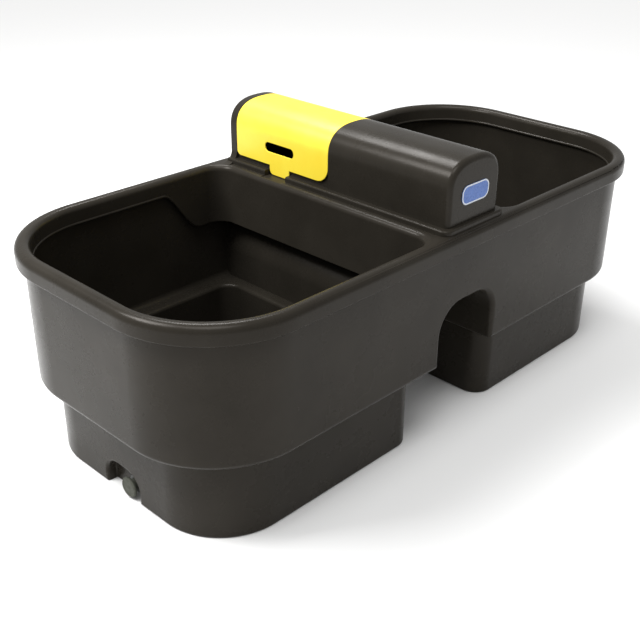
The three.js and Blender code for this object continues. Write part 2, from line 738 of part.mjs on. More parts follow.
function drainWasher() {
  return tube(COLLAR_FLANGE_RADIUS, COLLAR_RADIUS + SEAT_GAP, SEAT_GAP, SEAT_GAP + DRAIN_WASHER_THICK);
}

function drainNut() {
  const outer = -(WALL + SEAT_GAP);
  const radius = COLLAR_FLANGE_RADIUS - SEAT_GAP;
  return tube(radius, COLLAR_RADIUS + SEAT_GAP, outer - DRAIN_NUT_THICK, outer);
}

function drainBung() {
  const inner = -(WALL + DRAIN_NUT_THICK);
  const plug = COLLAR_BORE_RADIUS - BUNG_CLEARANCE;
  const neck = SEAT_GAP + DRAIN_WASHER_THICK + SEAT_GAP + COLLAR_FLANGE_THICK + BUNG_NECK;
  const face = neck + BUNG_HEAD_THICK;
  return turned([
    [0, inner],
    [plug - 2, inner],
    [plug, inner + 3],
    [plug, neck],
    [BUNG_HEAD_RADIUS, neck],
    [BUNG_HEAD_RADIUS, face - BUNG_RIM_ROUND],
    [BUNG_HEAD_RADIUS - BUNG_RIM_ROUND, face],
    [0, face],
  ]);
}

function placeDrain(solid, side) {
  const turnedOut = side > 0 ? solid.rotate([0, 90, 0]) : solid.rotate([0, -90, 0]);
  return turnedOut.translate([side * COLLAR_SEAT, DRAIN_OFFSET, DRAIN_HEIGHT]);
}

// ---- Water inlet through the tunnel's roof ----
const FLANGE_BASE = TUNNEL_ROOF + SEAT_GAP + SEAL_THICK + SEAT_GAP;
const SOCKET_TOP = FLANGE_BASE + FLANGE_THICK + SOCKET_HEIGHT;
const SOCKET_FLOOR = FLANGE_BASE + FLANGE_THICK;

function inletFitting() {
  return turnedRing([
    [STEM_BORE_RADIUS, TUNNEL_HEIGHT - STEM_BELOW_ROOF],
    [STEM_RADIUS, TUNNEL_HEIGHT - STEM_BELOW_ROOF],
    [STEM_RADIUS, FLANGE_BASE],
    [FLANGE_RADIUS, FLANGE_BASE],
    [FLANGE_RADIUS, SOCKET_FLOOR],
    [STEM_RADIUS, SOCKET_FLOOR],
    [STEM_RADIUS, SOCKET_TOP],
    [RISER_RADIUS + SEAT_GAP, SOCKET_TOP],
    [RISER_RADIUS + SEAT_GAP, SOCKET_FLOOR],
    [STEM_BORE_RADIUS, SOCKET_FLOOR],
  ]).translate([0, INLET_Y, 0]);
}

function inletSeal(bottom) {
  return tube(FLANGE_RADIUS, STEM_RADIUS + SEAT_GAP, bottom, bottom + SEAL_THICK).translate([0, INLET_Y, 0]);
}

function inletBacknut() {
  const top = TUNNEL_HEIGHT - 2 * SEAT_GAP - SEAL_THICK;
  return hexNut(BACKNUT_FLATS, STEM_RADIUS + SEAT_GAP, top - BACKNUT_THICK, top).translate([0, INLET_Y, 0]);
}

const ELBOW_BOTTOM = VALVE_AXIS_HEIGHT - ELBOW_RADIUS - ELBOW_SOCKET;

function riserPipe() {
  const bottom = SOCKET_FLOOR + SEAT_GAP;
  const top = VALVE_AXIS_HEIGHT - ELBOW_RADIUS;
  return tube(RISER_RADIUS, RISER_BORE_RADIUS, bottom, top).translate([0, INLET_Y, 0]);
}

const ELBOW_FACE = INLET_Y - ELBOW_RADIUS - ELBOW_ARM;

function elbow() {
  const down = rod(ELBOW_RADIUS, ELBOW_BOTTOM, VALVE_AXIS_HEIGHT);
  const ball = turned(sphereProfile(ELBOW_RADIUS, 8)).translate([0, 0, VALVE_AXIS_HEIGHT]);
  const arm = along(rod(ELBOW_RADIUS, ELBOW_FACE - INLET_Y, 0), "y", 0, 0, VALVE_AXIS_HEIGHT);
  const socket = rod(RISER_RADIUS + SEAT_GAP, ELBOW_BOTTOM - 1, VALVE_AXIS_HEIGHT - ELBOW_RADIUS + SEAT_GAP);
  const rise = rod(STEM_BORE_RADIUS, ELBOW_BOTTOM, VALVE_AXIS_HEIGHT + 2);
  const way = along(rod(STEM_BORE_RADIUS, ELBOW_FACE - INLET_Y - 1, 2), "y", 0, 0, VALVE_AXIS_HEIGHT);
  return down.add(ball).add(arm).subtract(socket).subtract(rise).subtract(way).translate([0, INLET_Y, 0]);
}

function sphereProfile(radius, steps) {
  const profile = [];
  for (let k = 0; k <= steps; k++) {
    const t = (k / steps) * Math.PI - Math.PI / 2;
    profile.push([Math.max(0, radius * Math.cos(t)), radius * Math.sin(t)]);
  }
  profile[0][0] = 0;
  profile[steps][0] = 0;
  return profile;
}

// ---- Float valve: a horizontal brass body whose piston closes a nozzle ----
const UNION_FACE = ELBOW_FACE - SEAT_GAP;
const VALVE_BACK = UNION_FACE - SEAL_THICK - SEAT_GAP;
const VALVE_MOUTH = VALVE_BACK - VALVE_LENGTH;
const NOZZLE_BACK = VALVE_BACK - VALVE_LENGTH / 3;
const NOZZLE_TIP = NOZZLE_BACK - NOZZLE_LENGTH;
const PIVOT_Y = VALVE_MOUTH + LEVER_PIVOT_FROM_MOUTH;
const PIVOT_Z = VALVE_AXIS_HEIGHT - LEVER_SHORT_ARM;
const WASHER_FACE = NOZZLE_TIP - SEAT_GAP - PISTON_TRAVEL;
const PISTON_BACK = WASHER_FACE - PISTON_WASHER_THICK - SEAT_GAP;
const SLOT_HALF = LEVER_THICK / 2 + LEVER_SIDE_GAP;

function aboutValve(solid) {
  return along(solid, "y", 0, 0, VALVE_AXIS_HEIGHT);
}

function valveUnionWasher() {
  return aboutValve(tube(ELBOW_RADIUS - 1, STEM_BORE_RADIUS, UNION_FACE - SEAL_THICK, UNION_FACE));
}

function valveBody() {
  const barrel = rod(VALVE_RADIUS, VALVE_MOUTH, VALVE_BACK);
  const hexagon = rod(UNION_FLATS / Math.sqrt(3), VALVE_BACK - UNION_THICK, VALVE_BACK - SEAT_GAP, 6);
  const bore = rod(VALVE_BORE_RADIUS, VALVE_MOUTH - 1, NOZZLE_BACK);
  const waterway = rod(VALVE_WATERWAY_RADIUS, NOZZLE_BACK - 1, VALVE_BACK + 1);
  const spoutY = NOZZLE_TIP - 1;
  const spoutEnd = VALVE_AXIS_HEIGHT - SPOUT_DROP;
  const spoutBore = SPOUT_RADIUS - SPOUT_WALL;
  const spout = tube(SPOUT_RADIUS, spoutBore, spoutEnd, VALVE_AXIS_HEIGHT - VALVE_BORE_RADIUS - 1);
  const spoutWay = rod(spoutBore, spoutEnd - 1, VALVE_AXIS_HEIGHT);
  // Two cheeks below the mouth carry the lever's pin.
  const cheekLow = PIVOT_Z - CHEEK_BEYOND_PIN;
  const cheekFar = PIVOT_Y + CHEEK_BEYOND_PIN;
  const cheek = VALVE_RADIUS - CHEEK_INSET;
  const cheeks = block(-cheek, cheek, VALVE_MOUTH, cheekFar, cheekLow, VALVE_AXIS_HEIGHT);
  const slot = block(-SLOT_HALF, SLOT_HALF, VALVE_MOUTH - 1, cheekFar + 1, cheekLow - 1, VALVE_AXIS_HEIGHT);
  const pinBore = rod(LEVER_PIN_RADIUS + SEAT_GAP, -VALVE_RADIUS, VALVE_RADIUS, 20);
  const pinHole = along(pinBore, "x", 0, PIVOT_Y, PIVOT_Z);
  return aboutValve(barrel.add(hexagon))
    .add(spout.translate([0, spoutY, 0]))
    .add(cheeks)
    .subtract(aboutValve(bore.add(waterway)))
    .subtract(spoutWay.translate([0, spoutY, 0]))
    .subtract(slot)
    .subtract(pinHole);
}

function valveNozzle() {
  const radius = VALVE_BORE_RADIUS - SEAT_GAP;
  return aboutValve(
    turnedRing([
      [NOZZLE_BORE_RADIUS, NOZZLE_TIP],
      [NOZZLE_TIP_RADIUS, NOZZLE_TIP],
      [radius, NOZZLE_TIP + NOZZLE_TAPER],
      [radius, NOZZLE_BACK - SEAT_GAP],
      [NOZZLE_BORE_RADIUS, NOZZLE_BACK - SEAT_GAP],
    ]),
  );
}

function pistonWasher() {
  return aboutValve(rod(PISTON_WASHER_RADIUS, WASHER_FACE - PISTON_WASHER_THICK, WASHER_FACE));
}

function valvePiston() {
  const radius = VALVE_BORE_RADIUS - PISTON_CLEARANCE;
  const body = aboutValve(rod(radius, PISTON_BACK - PISTON_LENGTH, PISTON_BACK));
  const gap = block(
    -SLOT_HALF,
    SLOT_HALF,
    PIVOT_Y - FINGER_WIDTH / 2 - FINGER_TRAIL,
    PIVOT_Y + FINGER_WIDTH / 2 + FINGER_LEAD,
    VALVE_AXIS_HEIGHT - VALVE_RADIUS,
    VALVE_AXIS_HEIGHT + FINGER_TIP + 1,
  );
  return body.subtract(gap);
}

// The lever hangs at its lowest, as it does in an empty trough.
const DROP = THREE.MathUtils.degToRad(FLOAT_DROP_DEG);
const FLOAT_CENTRE = new THREE.Vector3(
  0,
  PIVOT_Y - FLOAT_REACH * Math.cos(DROP),
  PIVOT_Z - FLOAT_REACH * Math.sin(DROP),
);

// Turns a solid made about Z, z = 0 at the pivot, so that it runs down the float's rod.
function downRod(solid) {
  return solid.rotate([90 + FLOAT_DROP_DEG, 0, 0]).translate([0, PIVOT_Y, PIVOT_Z]);
}

function floatLever() {
  const half = LEVER_THICK / 2;
  const wide = FINGER_WIDTH / 2;
  const fingerTop = VALVE_AXIS_HEIGHT + FINGER_TIP;
  const finger = block(-half, half, PIVOT_Y - wide, PIVOT_Y + wide, PIVOT_Z, fingerTop);
  const eye = along(rod(LEVER_EYE_RADIUS, -half, half), "x", 0, PIVOT_Y, PIVOT_Z);
  const pinBore = rod(LEVER_PIN_RADIUS + SEAT_GAP, -half - 1, half + 1, 20);
  const hole = along(pinBore, "x", 0, PIVOT_Y, PIVOT_Z);
  const stemEnd = FLOAT_REACH - FLOAT_RADIUS + ROD_IN_FLOAT;
  const stem = downRod(rod(ROD_RADIUS, BLADE_LENGTH - ROD_RADIUS, stemEnd, 16));
  const blade = downRod(block(-half, half, -ROD_RADIUS, ROD_RADIUS, 0, BLADE_LENGTH));
  return finger.add(eye).add(blade).subtract(hole).add(stem);
}

function leverPin() {
  const half = VALVE_RADIUS - 3;
  const shank = rod(LEVER_PIN_RADIUS, -half, half, 20);
  const head = rod(LEVER_PIN_RADIUS + LEVER_PIN_HEAD, half - LEVER_PIN_HEAD_THICK, half, 20);
  return along(shank.add(head), "x", 0, PIVOT_Y, PIVOT_Z);
}

function floatBall() {
  const ball = turned(sphereProfile(FLOAT_RADIUS, 14), 28);
  const seat = FLOAT_REACH - FLOAT_RADIUS;
  const boss = rod(FLOAT_BOSS_RADIUS, seat - FLOAT_BOSS_PROUD, seat + 2 * FLOAT_BOSS_PROUD);
  const hole = rod(ROD_RADIUS + SEAT_GAP, seat - FLOAT_BOSS_PROUD - 1, seat + ROD_IN_FLOAT + 2, 16);
  return downRod(ball.translate([0, 0, FLOAT_REACH]).add(boss).subtract(hole));
}

function floatLocknut() {
  const top = FLOAT_REACH - FLOAT_RADIUS - FLOAT_BOSS_PROUD - SEAT_GAP;
  return downRod(hexNut(LOCKNUT_FLATS, ROD_RADIUS + SEAT_GAP, top - LOCKNUT_THICK, top));
}

// ---- Assembly ----
const trough = new THREE.Group();
trough.add(meshOf("trough_body", troughBody(), blackPolyethylene()));
trough.add(meshOf("service_lid", serviceLid(), yellowPolyethylene()));
trough.add(meshOf("hinge_pin_near", hingePin(HINGE_CENTRES[0]), stainless()));
trough.add(meshOf("hinge_pin_far", hingePin(HINGE_CENTRES[1]), stainless()));
trough.add(meshOf("badge_plate", badgePlate(), bluePlate()));

for (const [side, end] of [[-1, "left"], [1, "right"]]) {
  trough.add(meshOf(`drain_collar_${end}`, placeDrain(drainCollar(), side), greyPolypropylene()));
  trough.add(meshOf(`drain_washer_${end}`, placeDrain(drainWasher(), side), blackRubber()));
  trough.add(meshOf(`drain_back_nut_${end}`, placeDrain(drainNut(), side), greyPolypropylene()));
  trough.add(meshOf(`drain_bung_${end}`, placeDrain(drainBung(), side), blackRubber()));
}

trough.add(meshOf("inlet_fitting", inletFitting(), brass()));
trough.add(meshOf("inlet_seal_upper", inletSeal(TUNNEL_ROOF + SEAT_GAP), blackRubber()));
trough.add(meshOf("inlet_seal_lower", inletSeal(TUNNEL_HEIGHT - SEAT_GAP - SEAL_THICK), blackRubber()));
trough.add(meshOf("inlet_back_nut", inletBacknut(), brass()));
trough.add(meshOf("riser_pipe", riserPipe(), stainless()));
trough.add(meshOf("riser_elbow", elbow(), brass()));
trough.add(meshOf("valve_union_washer", valveUnionWasher(), redFibre()));
trough.add(meshOf("valve_body", valveBody(), brass()));
trough.add(meshOf("valve_nozzle", valveNozzle(), whiteNylon()));
trough.add(meshOf("valve_piston", valvePiston(), brass()));
trough.add(meshOf("piston_washer", pistonWasher(), blackRubber()));
trough.add(meshOf("float_lever", floatLever(), brass()));
trough.add(meshOf("lever_pin", leverPin(), stainless()));
trough.add(meshOf("float_ball", floatBall(), orangeFloat()));
trough.add(meshOf("float_lock_nut", floatLocknut(), brass()));

export default trough;
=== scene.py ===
import math

import bmesh
import bpy
from mathutils import Matrix, Vector


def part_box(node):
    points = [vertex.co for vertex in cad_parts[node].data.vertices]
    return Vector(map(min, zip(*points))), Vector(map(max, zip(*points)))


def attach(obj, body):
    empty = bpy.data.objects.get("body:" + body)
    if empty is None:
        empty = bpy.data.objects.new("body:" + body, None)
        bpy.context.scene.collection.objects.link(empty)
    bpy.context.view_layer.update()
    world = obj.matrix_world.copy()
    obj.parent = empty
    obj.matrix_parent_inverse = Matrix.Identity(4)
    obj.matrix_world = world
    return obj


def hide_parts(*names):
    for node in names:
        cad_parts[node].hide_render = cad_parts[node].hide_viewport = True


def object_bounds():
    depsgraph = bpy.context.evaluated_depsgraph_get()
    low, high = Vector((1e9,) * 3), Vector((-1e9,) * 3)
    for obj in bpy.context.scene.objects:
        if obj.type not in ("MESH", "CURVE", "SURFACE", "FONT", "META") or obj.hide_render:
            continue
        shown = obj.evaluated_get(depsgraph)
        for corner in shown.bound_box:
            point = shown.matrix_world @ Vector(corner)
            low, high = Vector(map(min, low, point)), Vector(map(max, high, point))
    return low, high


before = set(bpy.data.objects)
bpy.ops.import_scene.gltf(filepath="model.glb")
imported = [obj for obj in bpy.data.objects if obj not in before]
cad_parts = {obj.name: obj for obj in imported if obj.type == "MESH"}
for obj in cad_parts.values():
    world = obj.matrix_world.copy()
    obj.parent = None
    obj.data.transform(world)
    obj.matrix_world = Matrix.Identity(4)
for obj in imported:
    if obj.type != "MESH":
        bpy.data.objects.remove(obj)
cad_box = [list(corner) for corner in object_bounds()]

# ---------------------------------------------------------------------------
# Trough shell: one rotational moulding in black polyethylene, 6 mm thick. The
# mould is closed all round, and the two bays and the lid's opening are trimmed
# out of the skin afterwards, which leaves thin cut edges hanging below the rim.
# ---------------------------------------------------------------------------
cad_low, cad_high = (Vector(corner) for corner in cad_box)
LENGTH, WIDTH = cad_high.x - cad_low.x, cad_high.y - cad_low.y
RIM_HEIGHT = 0.547
WALL = 0.006
PLAN_CORNER = 0.256
CORNER_STEPS = 40
PAST = 0.06  # how far a cutter reaches past the surface that it cuts
BAND_DEPTH = 0.044
BAND_SET_IN = 0.018
RIM_ROLL = 0.018
BAND_EDGE, BAND_ROOT, BAND_SLOPE = 0.004, 0.004, 0.0015
SHOULDER_HEIGHT = 0.204
SHOULDER_ROUND = 0.016
HALF_LENGTH, HALF_WIDTH = LENGTH / 2, WIDTH / 2
TINY = 1e-5
ALONG_Y = Matrix(((1, 0, 0, 0), (0, 0, -1, 0), (0, 1, 0, 0), (0, 0, 0, 1)))
ALONG_X = Matrix(((0, 0, 1, 0), (1, 0, 0, 0), (0, 1, 0, 0), (0, 0, 0, 1)))


def plate(x0, x1, y0, y1, radii, level=0.0, steps=CORNER_STEPS):
    """A level face whose corners (x0y0, x1y0, x1y1, x0y1) are rounded by the radii."""
    bm = bmesh.new()
    bmesh.ops.create_grid(bm, x_segments=1, y_segments=1, size=1.0)
    corners = {}
    for vert in bm.verts:
        key = (vert.co.x > 0, vert.co.y > 0)
        vert.co = (x1 if key[0] else x0, y1 if key[1] else y0, level)
        corners[key] = vert
    order = [(False, False), (True, False), (True, True), (False, True)]
    for key, radius in zip(order, radii):
        if radius > 0:
            bmesh.ops.bevel(bm, geom=[corners[key]], offset=radius, offset_type="OFFSET",
                            segments=steps, profile=0.5, affect="VERTICES", material=-1,
                            clamp_overlap=False)
    return bm


def climb(bm, stages, top=None):
    """Raises a face through (inset, rise) stages; a negative inset widens it."""
    top = top or bm.faces[:][0]
    for inset, rise in stages:
        if abs(inset) < 1e-9:
            made = bmesh.ops.extrude_discrete_faces(bm, faces=[top])
            top = made["faces"][0]
            bmesh.ops.translate(bm, vec=top.normal * rise, verts=top.verts[:])
        else:
            bmesh.ops.inset_region(bm, faces=[top], thickness=inset, depth=rise,
                                   use_boundary=True, use_even_offset=True)
    return top


def convex(radius, steps=6):
    """Stages that turn from climbing to closing over, as a rounded edge does."""
    turn = [math.sin(k / steps * math.pi / 2) for k in range(steps + 1)]
    shut = [1 - math.cos(k / steps * math.pi / 2) for k in range(steps + 1)]
    return [(radius * (shut[k + 1] - shut[k]), radius * (turn[k + 1] - turn[k])) for k in range(steps)]


def cove(radius, steps=6):
    """Stages that turn from closing over to climbing, as a filleted inside corner does."""
    return [(inset, rise) for rise, inset in convex(radius, steps)]


def widening(stages):
    """The same stages run backwards, so that the outline grows again."""
    return [(-inset, rise) for inset, rise in reversed(stages)]


def closed_solid(bm, start_shut=True):
    """Caps the ring that the climb started from and turns every face outwards."""
    if start_shut:
        rim = [edge for edge in bm.edges if edge.is_boundary]
        bmesh.ops.holes_fill(bm, edges=rim)
    bmesh.ops.recalc_face_normals(bm, faces=bm.faces[:])
    return bm


def placed(bm, name, turn=None):
    """The mesh as an object at the origin, with its place in its vertices."""
    if turn is not None:
        bmesh.ops.transform(bm, matrix=turn, verts=bm.verts[:])
        bmesh.ops.recalc_face_normals(bm, faces=bm.faces[:])
    mesh = bpy.data.meshes.new(name)
    bm.to_mesh(mesh)
    bm.free()
    piece = bpy.data.objects.new(name, mesh)
    bpy.context.scene.collection.objects.link(piece)
    return piece


def raised(name, face, stages, turn=None):
    """A closed solid climbed from a face, turned into place."""
    climb(face, stages)
    return placed(closed_solid(face), name, turn)


def block(x0, x1, y0, y1, z0, z1, name="block"):
    """A square-edged block between two corners."""
    return raised(name, plate(x0, x1, y0, y1, (0, 0, 0, 0), z0), [(0, z1 - z0)])


def combine(base, parts, operation):
    """Joins parts to the base, or cuts them from it, and keeps only the result."""
    for part in parts:
        step = base.modifiers.new(operation.lower(), "BOOLEAN")
        step.operation = operation
        step.solver = "MANIFOLD"
        step.object = part
    view = bpy.context.evaluated_depsgraph_get()
    settled = bpy.data.meshes.new_from_object(base.evaluated_get(view))
    base.modifiers.clear()
    base.data = settled
    for part in parts:
        bpy.data.objects.remove(part)
    return base


def upper(skin, name):
    """The upper body, or the hollow a skin's thickness inside it."""
    a, b, r = HALF_LENGTH - skin, HALF_WIDTH - skin, PLAN_CORNER - skin
    middle = RIM_HEIGHT - BAND_DEPTH + BAND_EDGE + (WALL if skin else 0)
    rise = RIM_HEIGHT - RIM_ROLL - middle
    face = plate(-a, a, -b, b, (r, r, r, r), middle)
    climb(face, [(0, rise)] + convex(RIM_ROLL - skin, 8))
    lower = plate(-a, a, -b, b, (r, r, r, r), middle)
    bmesh.ops.reverse_faces(lower, faces=lower.faces[:])
    ledge = BAND_SET_IN - BAND_EDGE - BAND_ROOT
    wall_top = climb(lower, convex(BAND_EDGE, 4) + [(ledge, BAND_SLOPE)] + cove(BAND_ROOT, 3))
    base = SHOULDER_HEIGHT + skin + SHOULDER_ROUND
    drop = wall_top.verts[0].co.z - base
    climb(lower, [(0, drop)] + convex(SHOULDER_ROUND, 8), wall_top)
    mesh = bpy.data.meshes.new("lower")
    lower.to_mesh(mesh)
    lower.free()
    face.from_mesh(mesh)
    bpy.data.meshes.remove(mesh)
    bmesh.ops.remove_doubles(face, verts=face.verts[:], dist=TINY)
    return placed(closed_solid(face, start_shut=False), name)


LEG_END, LEG_GAP, LEG_SIDE = 0.771, 0.138, 0.338
LEG_END_CORNER, LEG_GAP_CORNER = 0.170, 0.050
LEG_COVE, FOOT_ROUND = 0.005, 0.006
WELL_LIP, WELL_ROUND = 0.010, 0.016


def leg(side, skin, flare, top, foot_round, name):
    """One leg, or the well inside it, from its flared top down to its rounded foot."""
    x0, x1 = LEG_GAP + skin - flare, LEG_END - skin + flare
    half = LEG_SIDE - skin + flare
    inner, outer = LEG_GAP_CORNER - skin + flare, LEG_END_CORNER - skin + flare
    if side > 0:
        face = plate(x0, x1, -half, half, (inner, outer, outer, inner), top)
    else:
        face = plate(-x1, -x0, -half, half, (outer, inner, inner, outer), top)
    bmesh.ops.reverse_faces(face, faces=face.faces[:])
    level = SHOULDER_HEIGHT + skin
    straight = level - flare - skin - foot_round
    return raised(name, face, [(0, top - level)] + cove(flare) + [(0, straight)] + convex(foot_round))


TUNNEL_HALF, TUNNEL_TOP, TUNNEL_CORNER, TUNNEL_REACH = 0.104, 0.362, 0.074, 0.47
PORTAL_ROUND, PORTAL_FACE = 0.013, HALF_WIDTH - BAND_SET_IN
ARCH_FOOT_ROUND = 0.011


def tunnel(skin, name):
    """The pipe tunnel's arch, belled out where it breaks through the long walls."""
    bell = 0 if skin else PORTAL_ROUND
    half, top, r = TUNNEL_HALF + skin + bell, TUNNEL_TOP + skin + bell, TUNNEL_CORNER + skin + bell
    face = plate(-half, half, -PAST, top, (0, 0, r, r), -TUNNEL_REACH, 24)
    if skin:
        return raised(name, face, [(0, 2 * TUNNEL_REACH)], ALONG_Y)
    lead = [(0, TUNNEL_REACH - PORTAL_FACE)]
    straight = [(0, 2 * (PORTAL_FACE - PORTAL_ROUND))]
    return raised(name, face, lead + cove(bell) + straight + widening(cove(bell)) + lead, ALONG_Y)


def round_bar(radius, y0, y1, x, z, name, segments=48):
    """A round bar along Y."""
    bm = bmesh.new()
    place = Matrix.Translation((x, (y0 + y1) / 2, z)) @ Matrix.Rotation(math.pi / 2, 4, "X")
    bmesh.ops.create_cone(bm, cap_ends=True, segments=segments, radius1=radius, radius2=radius,
                          depth=y1 - y0, matrix=place)
    return placed(bm, name)


def arch_foot(name):
    """What rounds off the two edges where the tunnel's walls turn out under the shoulder."""
    half, top = TUNNEL_HALF + ARCH_FOOT_ROUND, SHOULDER_HEIGHT + ARCH_FOOT_ROUND
    cutter = block(-half, half, -TUNNEL_REACH, TUNNEL_REACH, SHOULDER_HEIGHT - WALL, top, name)
    longer = TUNNEL_REACH + 0.01
    curves = [round_bar(ARCH_FOOT_ROUND, -longer, longer, side * half, top, "curve") for side in (-1, 1)]
    return combine(cutter, curves, "DIFFERENCE")


collar_low, collar_high = (Vector(corner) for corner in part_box("drain_collar_left"))
DRAIN_Y, DRAIN_Z = (collar_low.y + collar_high.y) / 2, (collar_low.z + collar_high.z) / 2
NICHE_Y = -0.010
NICHE_HALF, NICHE_TOP, NICHE_CORNER, NICHE_DEPTH = 0.061, 0.072, 0.044, 0.026
NICHE_LIP, NICHE_BACK_ROUND, NICHE_SKIN_ROUND = 0.007, 0.004, 0.006


def niche(side, skin, name):
    """The pocket at the foot of a leg's end that the drain sits back in."""
    bell = 0 if skin else NICHE_LIP
    grow = skin + bell
    outer = HALF_LENGTH + PAST
    back = LEG_END - NICHE_DEPTH - skin
    face = plate(NICHE_Y - NICHE_HALF - grow, NICHE_Y + NICHE_HALF + grow, -PAST, NICHE_TOP + grow,
                 (0, 0, NICHE_CORNER + grow, NICHE_CORNER + grow), -outer, 12)
    if skin:
        stages = [(0, outer - back - NICHE_SKIN_ROUND)] + convex(NICHE_SKIN_ROUND, 4)
        solid = raised(name, face, stages, ALONG_X)
    else:
        depth = NICHE_DEPTH - bell - NICHE_BACK_ROUND
        stages = [(0, outer - LEG_END)] + cove(bell, 4) + [(0, depth)] + convex(NICHE_BACK_ROUND, 4)
        solid = raised(name, face, stages, ALONG_X)
    if side > 0:
        solid.data.transform(Matrix.Diagonal((-1, 1, 1, 1)))
        solid.data.flip_normals()
    return solid


BRIDGE_HALF, BRIDGE_CORNER = 0.134, 0.050
RIM_WIDTH, LIP_ROUND, THROAT_DRAFT = 0.036, 0.015, 0.005
CURTAIN_HEIGHT, SKIRT_HEIGHT = 0.392, 0.503
ABOVE_RIM, BELOW_CURTAIN = 0.05, 0.014
CURTAIN_REACH, SKIRT_START = 0.215, 0.330


def throat(side, skin, name):
    """A bay's drinking opening, from above its rounded lip to below the curtain."""
    lip = 0 if skin else LIP_ROUND
    grow = skin + lip
    end, half = HALF_LENGTH - RIM_WIDTH + grow, HALF_WIDTH - RIM_WIDTH + grow
    bridge = BRIDGE_HALF - grow
    outer, inner = PLAN_CORNER - RIM_WIDTH + grow, BRIDGE_CORNER + grow
    top = RIM_HEIGHT + ABOVE_RIM
    if side > 0:
        face = plate(bridge, end, -half, half, (inner, outer, outer, inner), top)
    else:
        face = plate(-end, -bridge, -half, half, (outer, inner, inner, outer), top)
    bmesh.ops.reverse_faces(face, faces=face.faces[:])
    low = CURTAIN_HEIGHT - BELOW_CURTAIN
    stages = [(0, top - RIM_HEIGHT)]
    if lip:
        stages += cove(lip, 8)
    return raised(name, face, stages + [(THROAT_DRAFT, RIM_HEIGHT - lip - low)])


def skin_edge(x):
    """Height of the trimmed edge: the skirt under the rim, dipping to the curtain at the bridge."""
    t = min(1.0, max(0.0, (abs(x) - CURTAIN_REACH) / (SKIRT_START - CURTAIN_REACH)))
    return CURTAIN_HEIGHT + (SKIRT_HEIGHT - CURTAIN_HEIGHT) * t * t * (3 - 2 * t)


def kept_skin(name):
    """Everything above the trimmed edge, which is where the inner skin stays."""
    bm = bmesh.new()
    bmesh.ops.create_grid(bm, x_segments=180, y_segments=1, size=1.0)
    reach, side = HALF_LENGTH + PAST, HALF_WIDTH + PAST
    for vert in bm.verts:
        x = vert.co.x * reach
        vert.co = (x, RIM_HEIGHT + PAST / 2 if vert.co.y > 0 else skin_edge(x), -side)
    made = bmesh.ops.extrude_face_region(bm, geom=bm.faces[:], use_keep_orig=True)
    verts = [item for item in made["geom"] if isinstance(item, bmesh.types.BMVert)]
    bmesh.ops.translate(bm, vec=(0, 0, 2 * side), verts=verts)
    bmesh.ops.recalc_face_normals(bm, faces=bm.faces[:])
    return placed(bm, name, ALONG_Y)


BEAD_RADIUS = 0.0036
BEAD_PITCH = 0.006


def trimmed_bead(side, name):
    """The rolled edge left by the trimming cutter, all round one bay's hanging skin."""
    grow = WALL / 2 - THROAT_DRAFT / 2
    end, half = HALF_LENGTH - RIM_WIDTH + grow, HALF_WIDTH - RIM_WIDTH + grow
    bridge = BRIDGE_HALF - grow
    outer, inner = PLAN_CORNER - RIM_WIDTH + grow, BRIDGE_CORNER + grow
    face = plate(bridge, end, -half, half, (inner, outer, outer, inner))
    loop = [vert.co.copy() for vert in face.faces[:][0].verts]
    face.free()
    path = []
    for start, stop in zip(loop, loop[1:] + loop[:1]):
        pieces = max(1, round((stop - start).length / BEAD_PITCH))
        path += [start.lerp(stop, k / pieces) for k in range(pieces)]
    curve = bpy.data.curves.new(name, "CURVE")
    curve.dimensions = "3D"
    curve.bevel_depth = BEAD_RADIUS
    curve.bevel_resolution = 3
    spline = curve.splines.new("POLY")
    spline.points.add(len(path) - 1)
    spline.use_cyclic_u = True
    for point, place in zip(spline.points, path):
        point.co = (side * place.x, place.y, skin_edge(place.x), 1)
    wire = bpy.data.objects.new(name, curve)
    bpy.context.scene.collection.objects.link(wire)
    view = bpy.context.evaluated_depsgraph_get()
    bm = bmesh.new()
    bm.from_mesh(bpy.data.meshes.new_from_object(wire.evaluated_get(view)))
    bpy.data.objects.remove(wire)
    bmesh.ops.remove_doubles(bm, verts=bm.verts[:], dist=TINY)
    bmesh.ops.recalc_face_normals(bm, faces=bm.faces[:])
    return placed(bm, name)


HOUSING_HALF, HOUSING_TOP, HOUSING_SPRING = 0.096, 0.712, 0.640
HOUSING_POWER = 2 / 2.6
HOUSING_NEAR, HOUSING_FAR, HOUSING_ROUND = -0.372, 0.361, 0.014
HOUSING_STEPS = 144
FAR_ROUND = 0.003
HOUSING_FOOT, HOUSING_HOLLOW_FOOT, LEAST_ROUND = 0.020, 0.012, 0.004
PLINTH_TOP, PLINTH_LEDGE, PLINTH_NEAR, PLINTH_ROUND = 0.560, 0.016, -0.384, 0.005


def housing_section(inset, level, bottom):
    """The housing's upright section as a face, drawn in (x, z) and set in by the inset."""
    bm = bmesh.new()
    bmesh.ops.create_circle(bm, cap_ends=True, radius=1.0, segments=HOUSING_STEPS)
    half, rise = HOUSING_HALF - inset, HOUSING_TOP - HOUSING_SPRING - inset
    for vert in bm.verts:
        c, s = vert.co.x, vert.co.y
        if s >= -1e-6:
            x = math.copysign(half * abs(c) ** HOUSING_POWER, c)
            z = HOUSING_SPRING + rise * max(s, 0.0) ** HOUSING_POWER
        else:
            x = half * max(-1.0, min(1.0, c * math.sqrt(2)))
            z = HOUSING_SPRING - (HOUSING_SPRING - bottom) * min(1.0, -s * math.sqrt(2))
        vert.co = (x, z, level)
    if bm.faces[:][0].normal.z < 0:
        bmesh.ops.reverse_faces(bm, faces=bm.faces[:])
    bm.normal_update()
    return bm


